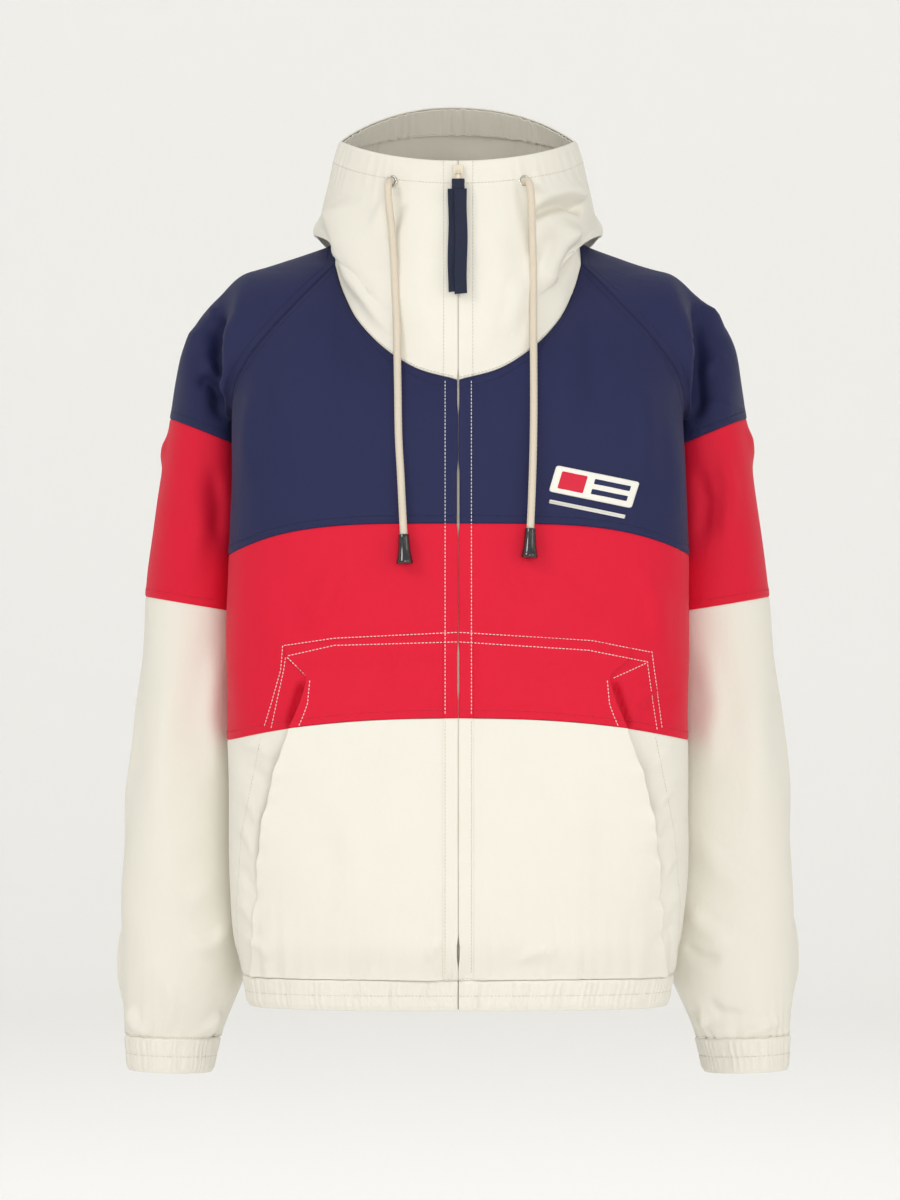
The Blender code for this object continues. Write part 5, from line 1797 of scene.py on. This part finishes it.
@dataclass
class FrontTrims:
    """Zip tape with its teeth, badge and the rows of stitches."""

    finishes: Finishes
    body: Body
    hood: Hood
    sleeves: Sleeves

    def tape(self) -> None:
        """Tape behind the zip, from the foot of the hem band to the top of the collar."""
        angles = np.array([-6.0, -4.5, -3.0, -1.5, 0.0, 1.5, 3.0, 4.5, 6.0])
        body = angles * RAGLAN[0].ring_angle / FRONT_CORNER
        heights = np.linspace(HEM_BOTTOM + 0.001, float(neck_height(body[4])), 180)[:, None]
        lower = torso(body[None], heights)
        upper = hood(angles, np.linspace(0, RIM - 0.12, 70)[1:, None] * np.ones(9))
        panel = Panel("zip_tape", np.concatenate([lower, upper]), thickness=0.0008)
        panel.relief -= CLOTH + 0.0003
        panel.dress(self.finishes, Finish.TAPE)
        self.body.panels["zip_tape"] = panel
        teeth = Thread("zip_teeth", pitch=0.0016, length=0.0011, width=0.0034, high=0.0013)
        middle, normals = panel.surface()[:, 4], panel.normals[:, 4]
        teeth.sew((middle, normals))
        teeth.build(self.finishes[Finish.TAPE])

    def badge(self) -> None:
        """Generic woven badge: a plain shape and two bars on a cream ground, over a stitched bar."""
        parts = (
            ("badge", Finish.BADGE, (-0.5, 0.5), (-0.5, 0.5), 0.0016, 0.0022),
            ("badge_shape", Finish.BADGE_RED, (-0.42, -0.10), (-0.34, 0.34), 0.0020, 0.0014),
            ("badge_bar_over", Finish.BADGE_NAVY, (-0.02, 0.42), (0.08, 0.30), 0.0020, 0.0007),
            ("badge_bar_under", Finish.BADGE_NAVY, (-0.02, 0.42), (-0.30, -0.08), 0.0020, 0.0007),
            ("badge_line", Finish.BADGE, (-0.46, 0.46), (-0.92, -0.78), 0.0009, 0.0005),
        )
        for name, finish, across, up, lift, corner in parts:
            wide, tall = (across[1] - across[0]) * BADGE_WIDE, (up[1] - up[0]) * BADGE_HIGH
            u, v = spaced(wide, 0.0016) * wide - wide / 2, spaced(tall, 0.0012) * tall - tall / 2
            into_corner = np.maximum(corner - (tall / 2 - np.abs(v)), 0)
            inset = corner - np.sqrt(np.maximum(corner**2 - into_corner**2, 0))
            u = u[None] * (1 - inset[:, None] * 2 / wide)
            u = u + (across[0] + across[1]) / 2 * BADGE_WIDE
            v = v[:, None] + (up[0] + up[1]) / 2 * BADGE_HIGH
            heights = BADGE_Z + v - u * BADGE_TILT
            x = BADGE_X + u + v * BADGE_LEAN
            angles = angle_at(x, heights)
            panel = Panel(name, torso(angles, heights), thickness=0.0007)
            edge = np.min([panel.from_edge(side) for side in "lrtb"], axis=0)
            panel.relief = self.body.worn(panel, "") + lift * (0.6 + 0.4 * smooth(0, 0.0009, edge))
            thing = panel.build(self.finishes[finish])
            if name == "badge":
                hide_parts("badge")

    def dropped(
        self, line: Sequence[tuple[float, float]], side: int = 1
    ) -> tuple[np.ndarray, np.ndarray]:
        """Line of (x, height) laid on the front of the jacket from in front.

        Args:
            line: Corners of the line, as x and height on the left side.
            side: 1 for the left side, -1 for the right.

        Returns:
            The line's points and its normals.
        """
        line = np.array(line) * (side, 1)
        run = running(line[None], 1)[0]
        at = np.linspace(0, run[-1], max(3, round(run[-1] / 0.002)))
        places, normals = [], []
        for x, z in zip(np.interp(at, run, line[:, 0]), np.interp(at, run, line[:, 1])):
            hit, normal, _, _ = self.skin.ray_cast(Vector((x, -0.4, z)), Vector((0, 1, 0)))
            if hit is not None:
                places.append(hit)
                normals.append(normal if normal.y < 0 else -normal)
        return np.array(places), unit(np.array(normals))

    def stitches(self) -> None:
        """All rows of stitches, by thread colour."""
        bodies, hoods, arms = self.body.panels, self.hood.panels, self.sleeves.panels
        self.skin = joined_tree([p for n, p in bodies.items() if "front" in n or "pocket" in n])
        white, navy = Thread("stitches_white"), Thread("stitches_navy")
        red, cream = Thread("stitches_red"), Thread("stitches_cream")
        for side, pocket in ((-1, POCKET_ROWS_RIGHT), (1, POCKET_ROWS_LEFT)):
            for row in pocket:
                white.sew(self.dropped(row, side))
            for row in POCKET_TONE_ROWS:
                cream.sew(self.dropped(row, side))
            white.sew(self.dropped([(0.0110, -0.1165), (0.0110, -0.398)], side))
            cream.sew(self.dropped([(0.0110, -0.402), (0.0110, -0.616)], side))
        colours = {"navy": navy, "red": red, "cream": cream}
        for name, panel in (bodies | arms).items():
            colour = name.split("_")[1]
            if name.startswith(("pocket", "zip", "hem", "cuff")) or colour == "cream":
                continue
            block_edge, raglan_edge = ("t", "b") if name.startswith("sleeve") else ("b", "t")
            colours[colour].sew(panel.line(block_edge, TOPSTITCH))
            if colour == "navy":
                for away in RAGLAN_STITCHES:
                    navy.sew(panel.line(raglan_edge, away))
        for name, panel in bodies.items():
            if name in ("front_cream_L", "front_cream_R", "back_cream"):
                cream.sew(panel.line("b", EDGE_STITCH))
            if name.startswith("pocket_red"):
                red.sew(panel.line("b", TOPSTITCH))
        cream.sew(bodies["hem_band"].line("b", 0.0130))
        for tag in ("L", "R"):
            cream.sew(arms[f"cuff_{tag}"].line("t", 0.0145))
            cream.sew(arms[f"sleeve_cream_{tag}"].line("t", EDGE_STITCH))
            side = hoods[f"hood_side_{tag}"]
            cream.sew(side.line("b", 0.0020))
            cream.sew(side.line("t", CASING_DEPTH))
            cream.sew(side.line("l" if tag == "L" else "r", 0.0120))
            cream.sew(side.line("r" if tag == "L" else "l", 0.0050))
        cream.sew(hoods["hood_centre"].line("t", CASING_DEPTH))
        for tag, edge in (("L", "r"), ("R", "l")):
            for away in (0.0015, 0.0080):
                cream.sew(inside(hoods[f"hood_side_{tag}"].line(edge, away), CLOTH))
        cream.sew(inside(hoods["hood_casing"].line("b", 0.0018), 0.0008))
        for thread, finish in (
            (white, Finish.WHITE_THREAD),
            (navy, Finish.NAVY_THREAD),
            (red, Finish.RED_THREAD),
            (cream, Finish.CREAM_THREAD),
        ):
            thread.build(self.finishes[finish])


def inside(line: tuple[np.ndarray, np.ndarray], thickness: float) -> tuple[np.ndarray, np.ndarray]:
    """The same line on the inner side of a wall."""
    points, normals = line
    return points - normals * thickness, -normals


def joined_tree(panels: Sequence[Panel]) -> BVHTree:
    """Search tree over the outer surfaces of panels.

    Args:
        panels: The panels.

    Returns:
        The tree.
    """
    points, faces, count = [], [], 0
    for panel in panels:
        surface = panel.surface()
        rows, columns = surface.shape[:2]
        index = np.arange(rows * columns).reshape(rows, columns) + count
        faces.append(grid_faces(index))
        points.append(surface.reshape(-1, 3))
        count += rows * columns
    return BVHTree.FromPolygons(np.concatenate(points).tolist(), np.concatenate(faces).tolist())


# ---- Cords ----
CORD_RADIUS = 0.0031
CORD_ROUTES = {
    "L": [
        (0.0566, -0.0780, 0.0532), (0.0571, -0.0794, 0.0534), (0.0588, -0.0846, 0.0528),
        (0.0602, -0.0889, 0.0494), (0.0611, -0.0908, 0.0442), (0.0618, -0.0912, 0.0340),
        (0.0625, -0.0907, 0.0130), (0.0630, -0.0914, -0.0080), (0.0633, -0.0930, -0.0230),
        (0.0634, -0.0943, -0.0450), (0.0634, -0.0962, -0.0680), (0.0634, -0.1036, -0.0870),
        (0.0634, -0.1107, -0.1050), (0.0633, -0.1213, -0.1330), (0.0630, -0.1271, -0.1600),
        (0.0625, -0.1298, -0.1820), (0.0615, -0.1326, -0.2120), (0.0602, -0.1354, -0.2425),
    ],
    "R": [
        (-0.0566, -0.0780, 0.0532), (-0.0570, -0.0794, 0.0534), (-0.0583, -0.0848, 0.0528),
        (-0.0591, -0.0891, 0.0494), (-0.0592, -0.0910, 0.0442), (-0.0585, -0.0912, 0.0340),
        (-0.0568, -0.0915, 0.0190), (-0.0550, -0.0936, 0.0000), (-0.0538, -0.0979, -0.0210),
        (-0.0528, -0.1015, -0.0450), (-0.0518, -0.1037, -0.0660), (-0.0512, -0.1096, -0.0980),
        (-0.0505, -0.1223, -0.1330), (-0.0498, -0.1286, -0.1670), (-0.0485, -0.1313, -0.1900),
        (-0.0470, -0.1338, -0.2190), (-0.0455, -0.1364, -0.2475),
    ],
}  # fmt: skip
CORD_FEET = {"L": (0.0594, -0.1381, -0.2660), "R": (-0.0446, -0.1390, -0.2710)}


def smooth_route(points: np.ndarray, spacing: float) -> np.ndarray:
    """Natural cubic spline through the points, read about every `spacing` metres.

    Args:
        points: Points, with x, y and z along the last axis.
        spacing: Spacing of the points read.

    Returns:
        The points of the curve.
    """
    points = np.asarray(points, float)
    knots = running(points[None], 1)[0]
    span = np.diff(knots)
    system, right = np.eye(len(points)), np.zeros_like(points)
    for k in range(1, len(points) - 1):
        system[k, k - 1 : k + 2] = span[k - 1], 2 * (span[k - 1] + span[k]), span[k]
        slopes = np.diff(points[k - 1 : k + 2], axis=0) / span[k - 1 : k + 1, None]
        right[k] = 6 * (slopes[1] - slopes[0])
    bend = np.linalg.solve(system, right)
    at = np.linspace(0, knots[-1], round(knots[-1] / spacing) + 1)
    i = np.clip(np.searchsorted(knots, at, side="right") - 1, 0, len(span) - 1)
    before = ((knots[i + 1] - at) / span[i])[:, None]
    after = 1 - before
    curved = (before**3 - before) * bend[i] + (after**3 - after) * bend[i + 1]
    return before * points[i] + after * points[i + 1] + curved * span[i][:, None] ** 2 / 6


END_PROFILE = [
    (0.0066, 0.0003), (0.0070, 0.0010), (0.0070, 0.0024), (0.0067, 0.0034), (0.0058, 0.0078),
    (0.0052, 0.0122), (0.0048, 0.0170), (0.0046, 0.0215), (0.0045, 0.0244), (0.0043, 0.0249),
    (0.0036, 0.0250), (0.0034, 0.0240),
]  # fmt: skip


@dataclass
class Drawcord:
    """Cotton cord from its eyelet, with a bell-shaped end piece."""

    tag: str
    finishes: Finishes
    steps: int = 20

    def cord(self) -> bpy.types.Object:
        """Tube along the cord's route, lightly ribbed by its braid.

        Returns:
            The object.
        """
        path = smooth_route(np.array(CORD_ROUTES[self.tag]), 0.0012)
        way = unit(np.gradient(path, axis=0))
        side = unit(np.cross(way, np.array([0.0, 1.0, 0.3])))
        other = np.cross(way, side)
        turn = np.linspace(0, 2 * np.pi, self.steps, endpoint=False)
        run = running(path[None], 1)[0]
        around = turn[None] / (2 * np.pi)
        strand = np.sin(2 * np.pi * (run[:, None] / 0.0078 + around * 3))
        other_strand = np.sin(2 * np.pi * (run[:, None] / 0.0078 - around * 3))
        radius = (CORD_RADIUS + 0.00012 * strand * other_strand)[..., None]
        radius[0] = radius[-1] = CORD_RADIUS * 0.8
        ring = np.cos(turn)[None, :, None] * side[:, None] + np.sin(turn)[None, :, None] * other[:, None]
        points = path[:, None] + ring * radius
        rows = len(path)
        index = np.arange(rows * self.steps).reshape(rows, self.steps)
        index = np.concatenate([index, index[:, :1]], axis=1)
        faces = grid_faces(index.T)
        wide = np.arange(rows * (self.steps + 1)).reshape(rows, self.steps + 1)
        corners = grid_faces(wide.T).ravel()
        round_way = np.linspace(0, 2 * np.pi * CORD_RADIUS, self.steps + 1)
        uv = np.stack(np.broadcast_arrays(round_way[None], run[:, None]), axis=-1).reshape(-1, 2)
        thing = quad_mesh(f"drawcord_{self.tag}", points.reshape(-1, 3), faces, uv[corners])
        shape = bmesh.new()
        shape.from_mesh(thing.data)
        bmesh.ops.holes_fill(shape, edges=shape.edges, sides=self.steps)
        bmesh.ops.recalc_face_normals(shape, faces=shape.faces)
        shape.to_mesh(thing.data)
        shape.free()
        thing.data.materials.append(self.finishes[Finish.CORD])
        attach(thing, "jacket")
        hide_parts(f"cord_{self.tag}")
        return thing

    def build(self) -> None:
        cord, end = self.cord(), self.end_piece()
        path = smooth_route(np.array(CORD_ROUTES[self.tag]), 0.0025)
        length = float(running(path[None], 1)[0, -1])
        CORD_ROUTES[self.tag][0]
        LOG.info("drawcord_%s: %.3f m", self.tag, length)

    def end_piece(self) -> bpy.types.Object:
        """Bell turned from a disc: its rings are extruded up the cord and drawn in.

        Returns:
            The object.
        """
        route_end, foot = Vector(CORD_ROUTES[self.tag][-1]), Vector(CORD_FEET[self.tag])
        along = (route_end - foot).normalized()
        bpy.ops.object.select_all(action="DESELECT")
        radius, height = 0.0056, 0.0
        bpy.ops.mesh.primitive_circle_add(
            vertices=40, radius=radius, fill_type="NGON", location=(0, 0, 0)
        )
        thing = bpy.context.object
        thing.name = thing.data.name = f"drawcord_end_{self.tag}"
        bpy.ops.object.mode_set(mode="EDIT")
        bpy.ops.mesh.select_all(action="SELECT")
        for wide, up in END_PROFILE:
            bpy.ops.mesh.extrude_region_move(TRANSFORM_OT_translate={"value": (0, 0, up - height)})
            bpy.ops.transform.resize(value=(wide / radius, wide / radius, 1), center_override=(0, 0, up))
            radius, height = wide, up
        bpy.ops.mesh.select_all(action="SELECT")
        bpy.ops.mesh.normals_make_consistent(inside=False)
        bpy.ops.object.mode_set(mode="OBJECT")
        turn = along.to_track_quat("Z", "Y").to_matrix().to_4x4()
        thing.data.transform(Matrix.Translation(foot) @ turn)
        finish = self.finishes[Finish.PLASTIC]
        finish_hard(thing, finish, "jacket", f"cord_end_{self.tag}")
        return thing


def finish_hard(
    thing: bpy.types.Object, finish: bpy.types.Material, body: str, node: str
) -> None:
    """Dresses a hard piece, smooths it and sets it in for its node.

    Args:
        thing: The piece, with its place in its mesh.
        finish: Its material.
        body: The body that it rides on.
        node: The node that it stands for.
    """
    bpy.ops.object.select_all(action="DESELECT")
    bpy.context.view_layer.objects.active = thing
    thing.select_set(True)
    bpy.ops.object.shade_smooth_by_angle(angle=math.radians(35))
    thing.data.materials.clear()
    thing.data.materials.append(finish)
    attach(thing, body)
    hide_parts(node)
    LOG.info("%s: %d faces", thing.name, len(thing.data.polygons))


# ---- Hard trims and ribbon ----
PIVOT = Matrix(
    (
        (1.0, 0.0, 0.0, 0.0),
        (0.0, 0.97734, 0.21165, -0.09550),
        (0.0, -0.21165, 0.97734, 0.05927),
        (0.0, 0.0, 0.0, 1.0),
    )
)  # X along the pull tab's pin, Z up the collar, -Y out of it


@dataclass
class Trims:
    """Eyelets, zip slider, pull tab and the ribbon tied through it."""

    finishes: Finishes
    outer: float = 0.0055
    inner: float = 0.0036

    def eyelets(self) -> None:
        """Turned rings at the cords' exits: a section is spun about the ring's axis."""
        for tag, side in (("L", 1), ("R", -1)):
            normal = Vector((0.466 * side, -0.863, 0.194)).normalized()
            centre = Vector((0.0560 * side, -0.07697, 0.0530))
            bpy.ops.object.select_all(action="DESELECT")
            half = (self.outer - self.inner) / 2
            bpy.ops.mesh.primitive_circle_add(
                vertices=14, radius=half, location=(self.inner + half, 0, 0), rotation=(math.pi / 2, 0, 0)
            )
            thing = bpy.context.object
            thing.name = thing.data.name = f"eyelet_ring_{tag}"
            bpy.ops.object.transform_apply(location=True, rotation=True, scale=True)
            bpy.ops.object.mode_set(mode="EDIT")
            bpy.ops.mesh.select_all(action="SELECT")
            bpy.ops.mesh.spin(steps=48, angle=2 * math.pi, center=(0, 0, 0), axis=(0, 0, 1))
            bpy.ops.mesh.select_all(action="SELECT")
            bpy.ops.mesh.remove_doubles(threshold=0.00002)
            bpy.ops.mesh.normals_make_consistent(inside=False)
            bpy.ops.transform.resize(value=(1, 1, 0.95), center_override=(0, 0, 0))
            bpy.ops.object.mode_set(mode="OBJECT")
            turn = normal.to_track_quat("Z", "Y").to_matrix().to_4x4()
            thing.data.transform(Matrix.Translation(centre + normal * 0.0008) @ turn)
            finish_hard(thing, self.finishes[Finish.NICKEL], "jacket", f"eyelet_{tag}")

    def block(self, low: Sequence[float], high: Sequence[float], bevel: float) -> bpy.types.Object:
        """Rounded block between two corners, in the pin's frame.

        Args:
            low: Lower corner.
            high: Upper corner.
            bevel: Radius of its edges.

        Returns:
            The object.
        """
        bpy.ops.object.select_all(action="DESELECT")
        bpy.ops.mesh.primitive_cube_add(size=1, location=(0, 0, 0))
        thing = bpy.context.object
        low, high = Vector(low), Vector(high)
        thing.data.transform(Matrix.Translation((low + high) / 2) @ Matrix.Diagonal((*(high - low), 1)))
        bpy.ops.object.mode_set(mode="EDIT")
        bpy.ops.mesh.select_all(action="SELECT")
        bpy.ops.mesh.bevel(offset=bevel, segments=3, affect="EDGES")
        bpy.ops.object.mode_set(mode="OBJECT")
        return thing

    def ring(self, radius: float, section: float, x: float) -> bpy.types.Object:
        """Round bar bent to a ring about the pin.

        Args:
            radius: Radius of the ring.
            section: Radius of the bar.
            x: Place along the pin.

        Returns:
            The object.
        """
        bpy.ops.object.select_all(action="DESELECT")
        bpy.ops.mesh.primitive_circle_add(vertices=12, radius=section, location=(x, 0, radius))
        thing = bpy.context.object
        bpy.ops.object.transform_apply(location=True, rotation=True, scale=True)
        bpy.ops.object.mode_set(mode="EDIT")
        bpy.ops.mesh.select_all(action="SELECT")
        bpy.ops.transform.rotate(value=math.pi / 2, orient_axis="Y", center_override=(x, 0, radius))
        bpy.ops.transform.rotate(value=math.pi / 2, orient_axis="Z", center_override=(x, 0, radius))
        bpy.ops.mesh.spin(steps=28, angle=2 * math.pi, center=(x, 0, 0), axis=(1, 0, 0))
        bpy.ops.mesh.select_all(action="SELECT")
        bpy.ops.mesh.remove_doubles(threshold=0.00002)
        bpy.ops.mesh.normals_make_consistent(inside=False)
        bpy.ops.object.mode_set(mode="OBJECT")
        return thing

    def joined(self, name: str, things: Sequence[bpy.types.Object]) -> bpy.types.Object:
        """Joins parts into one mesh and moves it from the pin's frame to its place.

        Args:
            name: Name of the object.
            things: The parts.

        Returns:
            The object.
        """
        bpy.ops.object.select_all(action="DESELECT")
        for thing in things:
            thing.select_set(True)
        bpy.context.view_layer.objects.active = things[0]
        bpy.ops.object.join()
        things[0].name = things[0].data.name = name
        things[0].data.transform(PIVOT)
        return things[0]

    def slider(self) -> None:
        """Slider plate with a waist, ears and the pin."""
        plate = self.block((-0.0045, 0.0018, -0.0062), (0.0045, 0.0034, 0.0077), 0.0007)
        for vertex in plate.data.vertices:
            waist = 1 - 0.22 * math.exp(-(((vertex.co.z + 0.0035) / 0.0030) ** 2))
            vertex.co.x *= waist
        ears = [
            self.block((x - 0.0006, -0.0013, -0.0015), (x + 0.0006, 0.0024, 0.0017), 0.0004)
            for x in (-0.0027, 0.0027)
        ]
        pin = self.block((-0.0025, -0.0008, -0.0008), (0.0025, 0.0008, 0.0008), 0.0005)
        thing = self.joined("slider", [plate, *ears, pin])
        finish_hard(thing, self.finishes[Finish.ENAMEL], "jacket", "zip_slider")

    def tab(self) -> None:
        """Pull tab: an eye round the pin, a neck and a grip."""
        eye = self.ring(0.0016, 0.0005, 0.0)
        neck = self.block((-0.0015, -0.0005, -0.0080), (0.0015, 0.0005, -0.0015), 0.0003)
        grip = self.block((-0.0030, -0.0006, -0.0130), (0.0030, 0.0006, -0.0072), 0.0004)
        thing = self.joined("tab", [eye, neck, grip])
        finish_hard(thing, self.finishes[Finish.ENAMEL], "pull", "pull_tab")

    def ribbon(self) -> None:
        """Ribbon wound through the tab's grip, with two hanging tails."""
        half = 0.00525
        turn = np.linspace(0, 2 * np.pi, 48, endpoint=False)
        hoop = np.stack([np.sign(np.cos(turn)) * np.abs(np.cos(turn)) ** 0.5, np.sin(turn)], axis=-1)
        across = np.linspace(-1, 1, 13)
        path = np.stack([hoop[:, 0] * 0.0013, hoop[:, 1] * 0.0046 - 0.01025], axis=-1)
        shape = np.empty((13, 48, 3))
        shape[..., 0] = (across * half)[:, None] * (1 + 0.04 * np.sin(turn * 2))[None]
        shape[..., 1], shape[..., 2] = path[None, :, 0], path[None, :, 1]
        pieces = [("loop", shape, True)]
        for low, high, y, foot, name in (
            (-0.0030, 0.0075, -0.0017, -0.106, "front"),
            (-0.0085, 0.0020, -0.0003, -0.104, "back"),
        ):
            down = np.linspace(0, 1, 60)[None, :]
            x = (low + (high - low) * (across[:, None] + 1) / 2) + 0.0004 * np.sin(down * 9 + low * 900)
            sway = 0.0003 * np.sin(down * 11 + y * 2000) + 0.0002 * across[:, None] * np.sin(down * 17)
            z = -0.0144 + (foot + 0.0144) * down + 0.0005 * across[:, None] * down
            pieces.append((name, np.stack(np.broadcast_arrays(x, y + sway, z), axis=-1), False))
        made = []
        for name, points, closed in pieces:
            points = np.swapaxes(points, 0, 1) if not closed else points
            turned = points[:, ::-1] if closed else points[::-1]
            panel = Panel(f"ribbon_{name}", turned, closed=closed, thickness=0.0006)
            outer = panel.base + panel.normals * 0.0003
            inner = panel.base - panel.normals * 0.0003
            ring = np.concatenate([panel.base, panel.base[:, :1]], axis=1) if closed else panel.base
            across_map, up_map = running(ring, 1), running(ring, 0)
            made.append(wall_object(panel.name, outer, inner, closed, across_map, up_map))
        thing = self.joined("ribbon_pull", made)
        thing.data.materials.clear()
        thing.data.materials.append(self.finishes[Finish.RIBBON])
        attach(thing, "pull")
        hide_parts("pull_ribbon")
        LOG.info("%s: %d faces", thing.name, len(thing.data.polygons))


# ---- Studio ----
@dataclass
class Studio:
    """Camera, pale sweep and soft light."""

    distance: float = 4.75
    centre: tuple[float, float] = (-0.0069, -0.301)
    view_height: float = 1.032
    floor: float = -1.10
    reach: float = 6.0

    def camera(self) -> None:
        """Level camera in front of the jacket."""
        data = bpy.data.cameras.new("camera")
        data.sensor_fit, data.sensor_width = "AUTO", 36.0
        data.lens = 36.0 * self.distance / self.view_height
        data.clip_end = 50
        thing = bpy.data.objects.new("camera", data)
        thing.location = (self.centre[0], -self.distance, self.centre[1])
        thing.rotation_euler = (math.pi / 2, 0, 0)
        bpy.context.scene.collection.objects.link(thing)
        bpy.context.scene.camera = thing

    def sweep(self) -> None:
        """Round pale floor that bends up into a wall on all sides."""
        profile = [(0.0001, self.floor), (self.reach, self.floor)]
        for step in range(1, 13):
            turn = math.pi / 2 * step / 12
            profile.append((self.reach + 1.5 * math.sin(turn), self.floor + 1.5 * (1 - math.cos(turn))))
        profile.append((self.reach + 1.5, 4.2))
        turn = np.linspace(0, 2 * np.pi, 97)
        points = np.array([[(r * math.cos(t), r * math.sin(t), z) for t in turn] for r, z in profile])
        index = np.arange(points.shape[0] * 97).reshape(-1, 97)
        thing = quad_mesh("sweep", points.reshape(-1, 3), grid_faces(index.T))
        shading = Shading("sweep_paper")
        tone = shading.grain(shading.place(False), 0.8)
        shading.colour(shading.blend(tone, (0.930, 0.925, 0.905), (0.940, 0.935, 0.915)))
        shading.surface.inputs["Roughness"].default_value = 0.9
        thing.data.materials.append(shading.material)

    def light(self) -> None:
        """Large soft lights on both sides over an even surround."""
        world = bpy.data.worlds.new("surround")
        world.use_nodes = True
        world.node_tree.nodes["Background"].inputs["Color"].default_value = (1.0, 0.995, 0.985, 1.0)
        world.node_tree.nodes["Background"].inputs["Strength"].default_value = 0.63
        bpy.context.scene.world = world
        bpy.context.scene.view_settings.view_transform = "Standard"
        for name, place, size, power in (
            ("key", (-2.5, -2.4, 1.6), 1.1, 33.0),
            ("fill", (2.8, -2.4, 0.5), 1.8, 19.0),
            ("front", (0.4, -3.8, 0.15), 1.4, 36.0),
            ("backdrop", (0.0, 1.6, 2.9), 3.0, 74.0),
        ):
            data = bpy.data.lights.new(name, "AREA")
            data.size, data.energy = size, power
            thing = bpy.data.objects.new(name, data)
            thing.location = place
            target = Vector((0, 6.5, -0.4)) if name == "backdrop" else Vector((0, 0, -0.3))
            thing.rotation_euler = (target - Vector(place)).to_track_quat("-Z", "Y").to_euler()
            bpy.context.scene.collection.objects.link(thing)


def main() -> None:
    """Builds the jacket's pieces in order and reports each."""
    logging.basicConfig(level=logging.INFO, format="%(name)s: %(message)s")
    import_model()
    studio, finishes = Studio(), Finishes()
    studio.camera()
    for tag in ("L", "R"):
        Drawcord(tag, finishes).build()
    body = Body(finishes)
    body.build()
    sleeves = Sleeves(finishes)
    sleeves.build()
    hood_shell = Hood(finishes)
    hood_shell.build()
    Pockets(finishes, body).build()
    front = FrontTrims(finishes, body, hood_shell, sleeves)
    front.tape()
    front.badge()
    front.stitches()
    trims = Trims(finishes)
    trims.eyelets()
    trims.slider()
    trims.tab()
    trims.ribbon()
    studio.sweep()
    studio.light()


if __name__ == "__main__":
    main()
